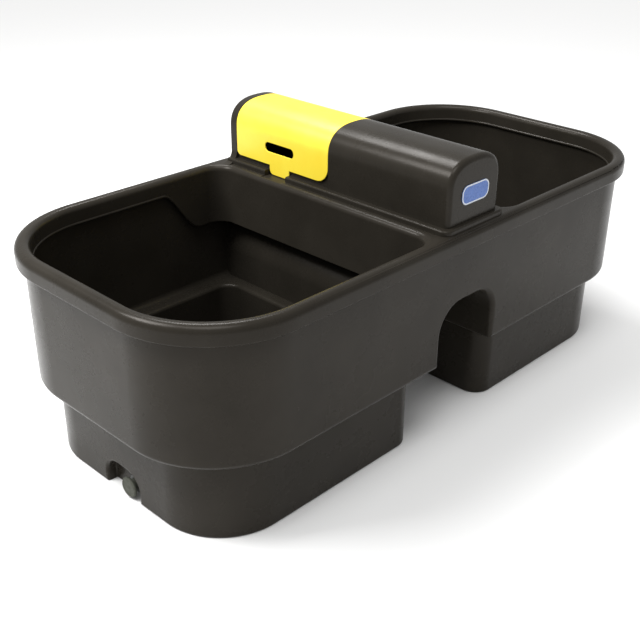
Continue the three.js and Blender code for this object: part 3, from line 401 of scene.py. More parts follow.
def housing(skin, name):
    """The housing on the bridge, rounded over at its near end."""
    bottom = RIM_HEIGHT - (HOUSING_HOLLOW_FOOT if skin else HOUSING_FOOT)
    round_far = 0 if skin else FAR_ROUND
    round_near = max(HOUSING_ROUND - skin, LEAST_ROUND)
    face = housing_section(skin + round_far, skin - HOUSING_FAR, bottom)
    lead = widening(convex(round_far, 3)) if round_far else []
    straight = HOUSING_FAR - HOUSING_NEAR - 2 * skin - round_near - round_far
    return raised(name, face, lead + [(0, straight)] + convex(round_near, 8), ALONG_Y)


def plinth(name):
    """The low step that the housing stands on, with a rounded top edge."""
    half = HOUSING_HALF + PLINTH_LEDGE
    base = RIM_HEIGHT - WALL / 2
    corner = PLINTH_LEDGE + PLINTH_ROUND
    face = plate(-half, half, PLINTH_NEAR, HOUSING_FAR, (corner, corner, WALL, WALL), base, 10)
    return raised(name, face, [(0, PLINTH_TOP - base - PLINTH_ROUND)] + convex(PLINTH_ROUND))


LID_NEAR, LID_FAR = 0.0, 0.337
LID_SILL, REBATE_DEPTH = 0.599, 0.0055
TAB_Y, TAB_WIDTH, TAB_NOTCH_GAP, TAB_FLOOR = 0.174, 0.072, 0.002, 0.545
BUTTRESS_ROUND, BUTTRESS_ROOT, BUTTRESS_SINK, BUTTRESS_BACK = 0.034, 0.006, 0.004, 0.003


def buttress(side, name):
    """The flare where the far end wall runs out into the rim on each side."""
    foot = HOUSING_HALF + BUTTRESS_ROUND
    top = RIM_HEIGHT + BUTTRESS_ROUND
    face = plate(HOUSING_HALF - BUTTRESS_ROOT, foot, RIM_HEIGHT - BUTTRESS_SINK, top, (0, 0, 0, 0),
                 BUTTRESS_BACK - HOUSING_FAR)
    solid = raised(name, face, [(0, HOUSING_FAR - BUTTRESS_BACK - LID_FAR)], ALONG_Y)
    scoop = round_bar(BUTTRESS_ROUND, LID_FAR - 0.087, LID_FAR + 0.113, foot, top, "scoop", 96)
    combine(solid, [scoop], "DIFFERENCE")
    if side < 0:
        solid.data.transform(Matrix.Diagonal((-1, 1, 1, 1)))
        solid.data.flip_normals()
    return solid


HINGE_X, HINGE_Z, HINGE_RADIUS, PIN_RADIUS, PIN_PLAY = 0.104, 0.604, 0.007, 0.003, 0.00035
HINGE_INSET = 0.068
HINGE_CENTRES = (LID_NEAR + HINGE_INSET, LID_FAR - HINGE_INSET)
KNUCKLE, LUG, SIDE_GAP, LUG_ROOT = 0.036, 0.016, 0.001, 0.002


def hinge_barrel(y0, y1, web_low, web_high, root, name):
    """A hinge barrel with the web that joins it to the wall beside it."""
    barrel = round_bar(HINGE_RADIUS, y0, y1, HINGE_X, HINGE_Z, name)
    web = block(HOUSING_HALF - root, HINGE_X, y0, y1, web_low, web_high)
    return combine(barrel, [web], "UNION")


def hinge_bore():
    """The hole for both pins, all along the hinge line."""
    return round_bar(PIN_RADIUS + PIN_PLAY, LID_NEAR, LID_FAR, HINGE_X, HINGE_Z, "hinge_bore", 32)


def lid_opening(name):
    """What is trimmed out of the housing under the lid: its top and the upper part of its walls."""
    out = HOUSING_HALF + PAST
    return block(-out, out, LID_NEAR, LID_FAR, LID_SILL, HOUSING_TOP + PAST, name)


def lid_rebate(skin, name):
    """The rebate that the lid's front closes over, with a notch in the plinth for its tab."""
    out, back = -HOUSING_HALF - PAST, -(HOUSING_HALF - REBATE_DEPTH) + skin
    reach = TAB_WIDTH / 2 + TAB_NOTCH_GAP + skin
    step = block(out, back, LID_NEAR - skin, LID_FAR + skin, PLINTH_TOP - skin, HOUSING_TOP, name)
    notch = block(out, back, TAB_Y - reach, TAB_Y + reach, TAB_FLOOR - skin, HOUSING_TOP)
    return combine(step, [notch], "UNION")


SIDES = (-1, 1)
shell = upper(0, "trough_shell")
legs = [leg(side, 0, LEG_COVE, SHOULDER_HEIGHT + WALL, FOOT_ROUND, "leg") for side in SIDES]
combine(shell, legs + [housing(0, "housing"), plinth("plinth"), buttress(-1, "buttress"),
                       buttress(1, "buttress")], "UNION")
combine(shell, [tunnel(0, "tunnel"), arch_foot("arch_foot"), niche(-1, 0, "niche"), niche(1, 0, "niche"),
                throat(-1, 0, "throat"), throat(1, 0, "throat")], "DIFFERENCE")

hollow = upper(WALL, "hollow")
plinth_half = HOUSING_HALF + PLINTH_LEDGE - WALL
wells = [leg(side, WALL, WELL_LIP, SHOULDER_HEIGHT + 5 * WALL, WELL_ROUND, "well") for side in SIDES]
plinth_hollow = block(-plinth_half, plinth_half, PLINTH_NEAR + 2 * WALL, HOUSING_FAR - WALL,
                      RIM_HEIGHT - 2 * WALL, PLINTH_TOP - WALL)
combine(hollow, wells + [housing(WALL, "housing_hollow"), plinth_hollow], "UNION")
combine(hollow, [tunnel(WALL, "hump"), niche(-1, WALL, "niche_back"), niche(1, WALL, "niche_back")],
        "DIFFERENCE")
skins = combine(throat(-1, WALL, "skin"), [throat(1, WALL, "skin")], "UNION")
combine(skins, [kept_skin("kept")], "INTERSECT")
combine(shell, [lid_rebate(0, "rebate")], "DIFFERENCE")
combine(hollow, [skins, lid_rebate(WALL, "rebate")], "DIFFERENCE")
combine(shell, [hollow, lid_opening("lid_opening")], "DIFFERENCE")
combine(shell, [trimmed_bead(-1, "bead"), trimmed_bead(1, "bead")], "UNION")
lugs = []
web_low, web_high = HINGE_Z - 2 * HINGE_RADIUS, HINGE_Z - HINGE_RADIUS / 2
for centre in HINGE_CENTRES:
    inner = KNUCKLE / 2 + SIDE_GAP
    for y in (centre - inner - LUG, centre + inner):
        lugs.append(hinge_barrel(y, y + LUG, web_low, web_high, LUG_ROOT, "lug"))
combine(shell, lugs, "UNION")


def x_bar(radius, x0, x1, y, z, name, segments=64):
    """A round bar along X."""
    bm = bmesh.new()
    place = Matrix.Translation(((x0 + x1) / 2, y, z)) @ Matrix.Rotation(math.pi / 2, 4, "Y")
    bmesh.ops.create_cone(bm, cap_ends=True, segments=segments, radius1=radius, radius2=radius,
                          depth=x1 - x0, matrix=place)
    return placed(bm, name)


INLET_Y, INLET_HOLE, INLET_HOLE_DEPTH = 0.285, 0.0133, 0.03
DRAIN_HOLE, DRAIN_HOLE_END = 0.0188, 0.70
inlet_hole = bmesh.new()
bmesh.ops.create_cone(inlet_hole, cap_ends=True, segments=64, radius1=INLET_HOLE, radius2=INLET_HOLE,
                      depth=INLET_HOLE_DEPTH, matrix=Matrix.Translation((0, INLET_Y, TUNNEL_TOP + WALL / 2)))
combine(shell, [hinge_bore(), x_bar(DRAIN_HOLE, -LEG_END, -DRAIN_HOLE_END, DRAIN_Y, DRAIN_Z, "hole"),
                x_bar(DRAIN_HOLE, DRAIN_HOLE_END, LEG_END, DRAIN_Y, DRAIN_Z, "hole"),
                placed(inlet_hole, "hole")], "DIFFERENCE")


def smoothed(piece, angle=32):
    """Soft shading with crisp edges past the angle, and flat faces kept flat."""
    piece.data.shade_smooth()
    piece.data.set_sharp_from_angle(angle=math.radians(angle))
    even = piece.modifiers.new("even_normals", "WEIGHTED_NORMAL")
    even.keep_sharp = True
    even.mode = "FACE_AREA_WITH_ANGLE"
    return piece


class Finish:
    """A Principled material with short ways to add noise, ramps and bumps on Object coordinates."""

    def __init__(self, name):
        self.material = bpy.data.materials.new(name)
        self.material.use_nodes = True
        self.nodes = self.material.node_tree.nodes
        self.links = self.material.node_tree.links
        self.shader = self.nodes["Principled BSDF"]
        self.place = self.nodes.new("ShaderNodeTexCoord").outputs["Object"]

    def noise(self, scale, detail, rough, stretch=(1, 1, 1)):
        """Noise on Object coordinates, drawn out along an axis where the stretch is small."""
        source = self.place
        if stretch != (1, 1, 1):
            mapping = self.nodes.new("ShaderNodeMapping")
            mapping.inputs["Scale"].default_value = stretch
            self.links.new(source, mapping.inputs["Vector"])
            source = mapping.outputs["Vector"]
        node = self.nodes.new("ShaderNodeTexNoise")
        node.inputs["Scale"].default_value = scale
        node.inputs["Detail"].default_value = detail
        node.inputs["Roughness"].default_value = rough
        self.links.new(source, node.inputs["Vector"])
        return node.outputs["Fac"]

    def ramp(self, source, stops):
        """Turns a source into colours or values between the stops."""
        node = self.nodes.new("ShaderNodeValToRGB")
        while len(node.color_ramp.elements) < len(stops):
            node.color_ramp.elements.new(0.5)
        for element, (at, color) in zip(node.color_ramp.elements, stops):
            element.position = at
            element.color = (*color, 1) if isinstance(color, tuple) else (color, color, color, 1)
        self.links.new(source, node.inputs["Fac"])
        return node.outputs["Color"]

    def mix(self, factor, first, second):
        """Mixes two colours, or a colour and a source, by a factor."""
        node = self.nodes.new("ShaderNodeMix")
        node.data_type = "RGBA"
        sockets = [s for s in node.inputs if s.type == "RGBA"]
        for socket, value in ((node.inputs["Factor"], factor), (sockets[0], first), (sockets[1], second)):
            if isinstance(value, bpy.types.NodeSocket):
                self.links.new(value, socket)
            elif isinstance(value, tuple):
                socket.default_value = (*value, 1)
            else:
                socket.default_value = value
        return [s for s in node.outputs if s.type == "RGBA"][0]

    def axes(self):
        """The Object coordinates one by one."""
        node = self.nodes.new("ShaderNodeSeparateXYZ")
        self.links.new(self.place, node.inputs["Vector"])
        return node.outputs

    def bump(self, source, strength, distance, under=None):
        """Bumps the surface by a source, on top of an earlier bump where one is given."""
        node = self.nodes.new("ShaderNodeBump")
        node.inputs["Strength"].default_value = strength
        node.inputs["Distance"].default_value = distance
        self.links.new(source, node.inputs["Height"])
        if under is not None:
            self.links.new(under, node.inputs["Normal"])
        self.links.new(node.outputs["Normal"], self.shader.inputs["Normal"])
        return node.outputs["Normal"]

    def feed(self, socket, source):
        """Links a source to one of the shader's own sockets."""
        self.links.new(source, self.shader.inputs[socket])

    def drift(self, socket, noise, low, high, start=0.3):
        """Lets one of the shader's sockets drift between two values with the noise."""
        self.feed(socket, self.ramp(noise, [(start, low), (0.7, high)]))


def black_polyethylene():
    """Satin black with a warm cast, slightly uneven gloss and a very fine orange peel."""
    finish = Finish("black_polyethylene")
    cloud = finish.noise(5.0, 4.0, 0.6)
    finish.drift("Base Color", cloud, (0.0186, 0.0162, 0.0126), (0.0262, 0.0230, 0.0182))
    finish.drift("Roughness", finish.noise(9.0, 5.0, 0.65), 0.23, 0.32)
    wave = finish.bump(finish.noise(7.0, 2.0, 0.4), 0.22, 0.004)
    finish.bump(finish.noise(700.0, 2.0, 0.5), 0.06, 0.0004, wave)
    finish.shader.inputs["Specular IOR Level"].default_value = 0.13
    finish.shader.inputs["Specular Tint"].default_value = (1.0, 0.94, 0.88, 1)
    return finish.material


def dressed(piece, material):
    """Gives a piece one material."""
    piece.data.materials.clear()
    piece.data.materials.append(material)
    return piece


polyethylene = black_polyethylene()
smoothed(shell)
dressed(shell, polyethylene)
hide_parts("trough_body")
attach(shell, "trough")

# ---------------------------------------------------------------------------
# Service lid: a yellow polyethylene cover that follows the housing's section,
# with a finger slot and a latch tab on its front, hinged on two pins behind.
# ---------------------------------------------------------------------------
LID_THICK, LID_GAP = 0.004, 0.0012
LID_FRONT_BOTTOM, LID_BACK_BOTTOM = 0.571, 0.603
TAB_DROP = 0.024
SLOT_Z, SLOT_LENGTH, SLOT_WIDTH = 0.618, 0.104, 0.025
SLOT_ROUND = 0.0115
LID_EASE = 0.0011
LID_CORNER, LID_SMALL_CORNER, TAB_OVERLAP = 0.040, 0.014, 0.02
ABOVE_LID, BEHIND_LID = 0.78, 0.15


def front_panel(y0, y1, z0, z1, radii, name):
    """A flat shape seen from the bay, drawn in (y, z) and pushed through the lid's front."""
    out = HOUSING_HALF + ABOVE_RIM
    return raised(name, plate(y0, y1, z0, z1, radii, -out, 16), [(0, out)], ALONG_X)


near, far = LID_NEAR + LID_GAP, LID_FAR - LID_GAP
low = LID_FRONT_BOTTOM - TAB_DROP
lid = raised("service_lid_cover", housing_section(0, -far, low), [(0, far - near)], ALONG_Y)
lid_hollow = raised("lid_hollow", housing_section(LID_THICK, -far - 0.01, low - 0.01),
                    [(0, far - near + 0.02)], ALONG_Y)
combine(lid, [lid_hollow], "DIFFERENCE")
outline = front_panel(near, far, LID_FRONT_BOTTOM, ABOVE_LID, (LID_CORNER, LID_SMALL_CORNER, 0, 0), "outline")
tab = front_panel(TAB_Y - TAB_WIDTH / 2, TAB_Y + TAB_WIDTH / 2, low, LID_FRONT_BOTTOM + TAB_OVERLAP,
                  (LID_SMALL_CORNER, LID_SMALL_CORNER, 0, 0), "tab")
back = block(-0.001, BEHIND_LID, near, far, LID_BACK_BOTTOM, ABOVE_LID)
combine(outline, [tab, back], "UNION")
combine(lid, [outline], "INTERSECT")
slot = front_panel(TAB_Y - SLOT_LENGTH / 2, TAB_Y + SLOT_LENGTH / 2, SLOT_Z - SLOT_WIDTH / 2,
                   SLOT_Z + SLOT_WIDTH / 2, (SLOT_ROUND,) * 4, "slot")
combine(lid, [slot], "DIFFERENCE")


def bevelled(bm, width, angle, clamped):
    """Rounds the edges that are sharper than the angle."""
    limit = math.radians(angle)
    sharp = [edge for edge in bm.edges if edge.is_manifold and edge.calc_face_angle(0) > limit]
    bmesh.ops.bevel(bm, geom=sharp, offset=width, offset_type="OFFSET", segments=3, profile=0.5,
                    affect="EDGES", material=-1, clamp_overlap=clamped)


def softened(piece, width, angle=50, merge=0.0004):
    """Rounds every edge sharper than the angle, after closing up slivers that a cut has left."""
    bm = bmesh.new()
    bm.from_mesh(piece.data)
    bmesh.ops.remove_doubles(bm, verts=bm.verts[:], dist=merge)
    bmesh.ops.dissolve_degenerate(bm, edges=bm.edges[:], dist=merge)
    bevelled(bm, width, angle, False)
    bm.to_mesh(piece.data)
    bm.free()
    return piece


softened(lid, LID_EASE)
knuckles = []
for centre in HINGE_CENTRES:
    knuckles.append(hinge_barrel(centre - KNUCKLE / 2, centre + KNUCKLE / 2, LID_BACK_BOTTOM + LID_EASE,
                                 HINGE_Z + HINGE_RADIUS, LID_THICK / 2, "knuckle"))
combine(lid, knuckles, "UNION")
combine(lid, [hinge_bore()], "DIFFERENCE")


def yellow_polyethylene():
    """Bright moulded yellow, satin, with a faint mottle in colour and gloss."""
    finish = Finish("yellow_polyethylene")
    cloud = finish.noise(14.0, 4.0, 0.6)
    finish.drift("Base Color", cloud, (0.93, 0.70, 0.045), (0.95, 0.76, 0.060))
    finish.drift("Roughness", finish.noise(22.0, 4.0, 0.6), 0.32, 0.44)
    wave = finish.bump(finish.noise(12.0, 2.0, 0.4), 0.2, 0.003)
    finish.bump(finish.noise(700.0, 2.0, 0.5), 0.06, 0.0004, wave)
    return finish.material


smoothed(lid, 40)
dressed(lid, yellow_polyethylene())
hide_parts("service_lid")
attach(lid, "lid")

# ---------------------------------------------------------------------------
# Hinge pins: two drawn stainless rods with domed ends, pushed through the lid's
# knuckles and the lugs on the housing.
# ---------------------------------------------------------------------------
def turned(outline, ease, name, closed=False, steps=72, angle=30):
    """A piece turned about Z from (radius, height) pairs, with its edges eased."""
    bm = bmesh.new()
    verts = [bm.verts.new((radius, 0, height)) for radius, height in outline]
    pairs = list(zip(verts, verts[1:])) + ([(verts[-1], verts[0])] if closed else [])
    edges = [bm.edges.new(pair) for pair in pairs]
    bmesh.ops.spin(bm, geom=verts + edges, axis=(0, 0, 1), cent=(0, 0, 0), dvec=(0, 0, 0),
                   angle=2 * math.pi, steps=steps, use_merge=True)
    bmesh.ops.remove_doubles(bm, verts=bm.verts[:], dist=1e-6)
    bmesh.ops.recalc_face_normals(bm, faces=bm.faces[:])
    if ease:
        bevelled(bm, ease, angle, True)
    return placed(bm, name)


def rod(radius, low_end, high_end, ease, name, steps=72):
    """A turned rod about Z."""
    return turned([(0, low_end), (radius, low_end), (radius, high_end), (0, high_end)], ease, name, steps=steps)


def tube(inner, outer, low_end, high_end, ease, name):
    """A turned tube or ring about Z."""
    outline = [(inner, low_end), (outer, low_end), (outer, high_end), (inner, high_end)]
    return turned(outline, ease, name, closed=True)


def moved(piece, x, y, z=0.0):
    """Moves a piece that already lies the right way."""
    piece.data.transform(Matrix.Translation((x, y, z)))
    return piece


def spot(node):
    """The low corner, the high corner and the middle of a node's box."""
    low_corner, high_corner = (Vector(corner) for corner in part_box(node))
    return low_corner, high_corner, (low_corner + high_corner) / 2


def laid(piece, axis, place):
    """Turns a piece made about Z so that it lies along the axis, then puts it in place."""
    turns = {"x": Matrix.Rotation(math.pi / 2, 4, "Y"), "-x": Matrix.Rotation(-math.pi / 2, 4, "Y"),
             "y": Matrix.Rotation(-math.pi / 2, 4, "X"), "z": Matrix.Identity(4)}
    piece.data.transform(Matrix.Translation(Vector(place)) @ turns[axis])
    return piece


def fitted(piece, node, body, material, angle=35):
    """Gives a finished piece its shading, material, body and node."""
    smoothed(piece, angle)
    dressed(piece, material)
    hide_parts(node)
    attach(piece, body)
    return piece


def metal(name, dark, light, roughness, grain, stretch=(1, 1, 1)):
    """Worked metal: uneven tint and fine tool marks drawn out along one way."""
    finish = Finish(name)
    finish.shader.inputs["Metallic"].default_value = 1.0
    finish.drift("Base Color", finish.noise(60.0, 4.0, 0.6), dark, light)
    marks = finish.noise(grain, 3.0, 0.6, stretch)
    finish.drift("Roughness", marks, roughness, roughness + 0.14)
    finish.bump(marks, 0.12, 0.0002)
    return finish.material


drawn_steel = metal("drawn_stainless", (0.52, 0.53, 0.54), (0.64, 0.65, 0.66), 0.20, 900.0, (1, 0.03, 1))
for name in ("hinge_pin_near", "hinge_pin_far"):
    start, stop, middle = spot(name)
    length, radius = stop.y - start.y, (stop.x - start.x) / 2
    pin = rod(radius, 0, length, 0.0009, name + "_rod", 40)
    laid(pin, "y", (middle.x, start.y, middle.z))
    fitted(pin, name, "trough", drawn_steel)

# ---------------------------------------------------------------------------
# Badge plate: a plain blue plastic plate with a raised pale border, stuck to the
# near end of the housing. Nothing is printed on it.
# ---------------------------------------------------------------------------
BADGE_BORDER, BADGE_SUNK, BADGE_EASE = 0.0030, 0.0005, 0.0004
start, stop, middle = spot("badge_plate")
badge_corner = (stop.z - start.z) / 2 - 0.004
face = plate(start.x, stop.x, start.z, stop.z, (badge_corner,) * 4, -stop.y, 16)
thick = stop.y - start.y
badge = raised("badge_face", face, [(0, thick - BADGE_EASE)] + convex(BADGE_EASE, 3)
               + [(BADGE_BORDER, 0), (0.0002, -BADGE_SUNK)], ALONG_Y)


def badge_blue(outer_face):
    """Glossy blue in the sunk middle and pale grey on the raised border."""
    finish = Finish("badge_blue")
    level = finish.axes()["Y"]
    step = finish.nodes.new("ShaderNodeMath")
    step.operation = "GREATER_THAN"
    step.inputs[1].default_value = outer_face + BADGE_SUNK / 2
    finish.links.new(level, step.inputs[0])
    shades = [(0.3, (0.055, 0.135, 0.42)), (0.7, (0.070, 0.160, 0.47))]
    blue = finish.ramp(finish.noise(40.0, 3.0, 0.5), shades)
    finish.feed("Base Color", finish.mix(step.outputs[0], (0.62, 0.66, 0.72), blue))
    finish.drift("Roughness", finish.noise(90.0, 3.0, 0.6), 0.22, 0.34)
    finish.bump(finish.noise(500.0, 2.0, 0.5), 0.05, 0.0003)
    return finish.material


fitted(badge, "badge_plate", "trough", badge_blue(start.y), 25)

# ---------------------------------------------------------------------------
# Drains, one at each end: a flanged grey polypropylene collar through the wall,
# a rubber washer under its flange, a notched back nut inside, and a rubber bung.
# ---------------------------------------------------------------------------
FLANGE_THICK, BORE_RADIUS = 0.004, 0.015
THREAD_PITCH, THREAD_DEPTH = 0.0016, 0.0006
BUNG_HEAD_THICK, BUNG_DISH, BUNG_RIM = 0.009, 0.0014, 0.004
NUT_NOTCHES, NOTCH_RADIUS = 8, 0.0022
SEAT_GAP = 0.0003


def threaded(radius, low_end, high_end, pitch=THREAD_PITCH, depth=THREAD_DEPTH):
    """Outline points of a cut thread, from the low end to the high end."""
    turns = int((high_end - low_end) / pitch)
    points = []
    for k in range(turns):
        points += [(radius - depth, low_end + k * pitch), (radius, low_end + (k + 0.5) * pitch)]
    return points


def grey_polypropylene():
    """Dark grey injection-moulded plastic with a faint texture."""
    finish = Finish("grey_polypropylene")
    finish.drift("Base Color", finish.noise(50.0, 4.0, 0.6), (0.060, 0.062, 0.060), (0.085, 0.087, 0.084))
    finish.drift("Roughness", finish.noise(70.0, 3.0, 0.5), 0.42, 0.55)
    finish.bump(finish.noise(900.0, 2.0, 0.5), 0.08, 0.0003)
    return finish.material


def black_rubber(name, dark, light):
    """Matt rubber with a bloom on it and a fine mould grain."""
    finish = Finish(name)
    finish.drift("Base Color", finish.noise(90.0, 5.0, 0.65), dark, light, 0.35)
    finish.drift("Roughness", finish.noise(120.0, 3.0, 0.5), 0.62, 0.78)
    grain = finish.bump(finish.noise(260.0, 3.0, 0.6), 0.15, 0.0004)
    finish.bump(finish.noise(1500.0, 2.0, 0.5), 0.12, 0.0002, grain)
    finish.shader.inputs["Specular IOR Level"].default_value = 0.35
    return finish.material


collar_plastic = grey_polypropylene()
seal_rubber = black_rubber("seal_rubber", (0.018, 0.018, 0.017), (0.032, 0.032, 0.030))
bung_rubber = black_rubber("bung_rubber", (0.050, 0.052, 0.040), (0.080, 0.084, 0.066))


def ring_seal(node, body, axis, material):
    """A flat sealing ring that bulges a little at its outer edge."""
    low_corner, high_corner, centre = spot(node)
    reach = high_corner - low_corner
    depth = {"x": reach.x, "-x": reach.x, "y": reach.y, "z": reach.z}[axis]
    outer = max(reach) / 2
    inner = outer - SEAL_WIDTHS[node.rsplit("_", 1)[0]]
    outline = [(inner, 0), (outer - depth * 0.3, 0), (outer, depth * 0.3), (outer, depth * 0.7),
               (outer - depth * 0.3, depth), (inner, depth)]
    seal = turned(outline, depth * 0.12, node + "_ring", closed=True, angle=60)
    starts = {"x": (low_corner.x, centre.y, centre.z), "-x": (high_corner.x, centre.y, centre.z),
              "y": (centre.x, low_corner.y, centre.z), "z": (centre.x, centre.y, low_corner.z)}
    laid(seal, axis, starts[axis])
    return fitted(seal, node, body, material)


SEAL_WIDTHS = {"drain_washer": 0.0032, "inlet_seal": 0.0087, "valve_union": 0.0065}

for end, axis in (("left", "-x"), ("right", "x")):
    start, stop, middle = spot("drain_collar_" + end)
    reach, flange = stop.x - start.x, (stop.z - start.z) / 2
    inner_x = stop.x if end == "left" else start.x
    tube_radius = flange - 0.0035
    seat = reach - FLANGE_THICK
    outline = [(BORE_RADIUS, 0)] + threaded(tube_radius, 0.0004, seat - 0.006) + [
        (tube_radius, seat), (flange, seat), (flange, reach), (BORE_RADIUS, reach)]
    collar = turned(outline, 0.0005, "drain_collar_body_" + end, closed=True, angle=70)
    laid(collar, axis, (inner_x, middle.y, middle.z))
    fitted(collar, "drain_collar_" + end, "trough", collar_plastic)
    ring_seal("drain_washer_" + end, "trough", axis, seal_rubber)

    start, stop, middle = spot("drain_back_nut_" + end)
    depth, outer = stop.x - start.x, (stop.z - start.z) / 2
    inner_x = stop.x if end == "left" else start.x
    ring = tube(tube_radius + SEAT_GAP, outer, 0, depth, 0.0005, "drain_nut_" + end)
    notches = []
    for k in range(NUT_NOTCHES):
        turn = 2 * math.pi * k / NUT_NOTCHES
        cutter = rod(NOTCH_RADIUS, -0.001, depth + 0.001, 0, "notch", 20)
        notches.append(moved(cutter, (outer + 0.0005) * math.cos(turn), (outer + 0.0005) * math.sin(turn)))
    combine(ring, notches, "DIFFERENCE")
    laid(ring, axis, (inner_x, middle.y, middle.z))
    fitted(ring, "drain_back_nut_" + end, "trough", collar_plastic)

    start, stop, middle = spot("drain_bung_" + end)
    reach, head = stop.x - start.x, (stop.z - start.z) / 2
    inner_x = stop.x if end == "left" else start.x
    plug, under = BORE_RADIUS - 0.0006, reach - BUNG_HEAD_THICK
    outline = [(0, 0.001), (plug - 0.004, 0.001), (plug - 0.003, 0), (plug - 0.002, 0), (plug, 0.003),
               (plug, 0.006), (plug - 0.0006, 0.007), (plug - 0.0006, 0.011), (plug, 0.012), (plug, under),
               (head - 0.002, under), (head, under + 0.002), (head, reach - 0.003), (head - 0.003, reach),
               (head - BUNG_RIM, reach), (head - BUNG_RIM - 0.0015, reach - BUNG_DISH),
               (0.006, reach - BUNG_DISH), (0.0048, reach - BUNG_DISH / 2), (0, reach - BUNG_DISH / 2)]
    bung = turned(outline, 0.0006, "drain_stopper_" + end, angle=25)
    laid(bung, axis, (inner_x, middle.y, middle.z))
    fitted(bung, "drain_bung_" + end, end + "_bung", bung_rubber)

# ---------------------------------------------------------------------------
# Water inlet: a brass fitting sealed through the tunnel's roof by two rubber
# rings and a hexagon back nut, with a stainless riser pipe and a brass elbow.
# ---------------------------------------------------------------------------
STEM_RADIUS, WATER_RADIUS, RISER_RADIUS = 0.013, 0.0065, 0.009
FLANGE_DEPTH, CAST_EASE, OVERRUN = 0.005, 0.0006, 0.01
cast_brass = metal("cast_brass", (0.50, 0.34, 0.12), (0.64, 0.46, 0.19), 0.30, 300.0)
turned_brass = metal("turned_brass", (0.56, 0.39, 0.14), (0.68, 0.50, 0.22), 0.20, 700.0, (0.06, 1, 0.06))
riser_steel = metal("riser_stainless", (0.50, 0.51, 0.52), (0.62, 0.63, 0.64), 0.22, 800.0, (1, 1, 0.03))


def bored(radius, low_end, high_end):
    """What a drill of this radius takes out along Z."""
    return rod(radius, low_end, high_end, 0, "bore", 48)


def hexagon(flats, low_end, high_end, name):
    """A hexagon prism about Z whose corners are chamfered at both ends."""
    corner = flats / math.sqrt(3)
    bm = bmesh.new()
    bmesh.ops.create_cone(bm, cap_ends=True, segments=6, radius1=corner, radius2=corner,
                          depth=high_end - low_end,
                          matrix=Matrix.Translation((0, 0, (low_end + high_end) / 2)))
    prism = placed(bm, name)
    chamfer, slope = flats / 2 * 1.02, (corner - flats / 2 * 1.02) * 0.5
    under, over, edge = low_end - TINY, high_end + TINY, corner + 10 * TINY
    lens = turned([(0, under), (chamfer, under), (edge, low_end + slope), (edge, high_end - slope),
                   (chamfer, over), (0, over)], 0, "lens")
    return combine(prism, [lens], "INTERSECT")


start, stop, middle = spot("inlet_fitting")
flange = (stop.x - start.x) / 2
seal_low, seal_high, centre = spot("inlet_seal_upper")
flange_low = seal_high.z + SEAT_GAP
flange_high = flange_low + FLANGE_DEPTH
outline = [(WATER_RADIUS, start.z)] + threaded(STEM_RADIUS, start.z + 0.0006, seal_low.z - 0.012) + [
    (STEM_RADIUS, seal_low.z - 0.011), (STEM_RADIUS, flange_low), (flange, flange_low), (flange, flange_high),
    (STEM_RADIUS, flange_high), (STEM_RADIUS, stop.z), (RISER_RADIUS + SEAT_GAP, stop.z),
    (RISER_RADIUS + SEAT_GAP, flange_high), (WATER_RADIUS, flange_high)]
fitting = moved(turned(outline, CAST_EASE, "inlet_body", closed=True, angle=70), middle.x, middle.y)
fitted(fitting, "inlet_fitting", "trough", turned_brass)
ring_seal("inlet_seal_upper", "trough", "z", seal_rubber)
ring_seal("inlet_seal_lower", "trough", "z", seal_rubber)

start, stop, middle = spot("inlet_back_nut")
back_nut = hexagon(stop.x - start.x, start.z, stop.z, "inlet_nut")
combine(back_nut, [bored(STEM_RADIUS + SEAT_GAP, start.z - OVERRUN, stop.z + OVERRUN)], "DIFFERENCE")
back_nut.data.transform(Matrix.Rotation(math.pi / 6, 4, "Z"))
moved(back_nut, middle.x, middle.y)
fitted(back_nut, "inlet_back_nut", "trough", cast_brass, 25)

start, stop, middle = spot("riser_pipe")
riser = moved(tube(WATER_RADIUS, RISER_RADIUS, start.z, stop.z, 0.0005, "riser_tube"), middle.x, middle.y)
fitted(riser, "riser_pipe", "trough", riser_steel)

start, stop, middle = spot("riser_elbow")
elbow_radius = (stop.x - start.x) / 2
inlet_axis = stop.y - elbow_radius
axis_z = stop.z - elbow_radius
body_radius = elbow_radius - 0.0012
collar_end, neck_start = 0.006, 0.0075
down = turned([(0, start.z), (elbow_radius, start.z), (elbow_radius, start.z + collar_end),
               (body_radius, start.z + neck_start), (body_radius, axis_z), (0, axis_z)],
              CAST_EASE, "elbow_body", angle=50)
ball = bmesh.new()
bmesh.ops.create_uvsphere(ball, u_segments=48, v_segments=24, radius=elbow_radius,
                          matrix=Matrix.Translation((0, 0, axis_z)))
reach = inlet_axis - start.y
arm = turned([(0, 0), (body_radius, 0), (body_radius, reach - neck_start), (elbow_radius, reach - collar_end),
              (elbow_radius, reach), (0, reach)], CAST_EASE, "arm", angle=50)
along_arm = Matrix.Translation((0, 0, axis_z)) @ Matrix.Rotation(math.pi / 2, 4, "X")
arm.data.transform(along_arm)
combine(down, [placed(ball, "ball"), arm], "UNION")
way = bored(WATER_RADIUS, -0.002, reach + OVERRUN)
way.data.transform(along_arm)
combine(down, [bored(RISER_RADIUS + SEAT_GAP, start.z - OVERRUN, axis_z - elbow_radius + SEAT_GAP),
               bored(WATER_RADIUS, start.z - OVERRUN, axis_z + 0.002), way], "DIFFERENCE")
moved(down, middle.x, inlet_axis)
fitted(down, "riser_elbow", "trough", cast_brass)

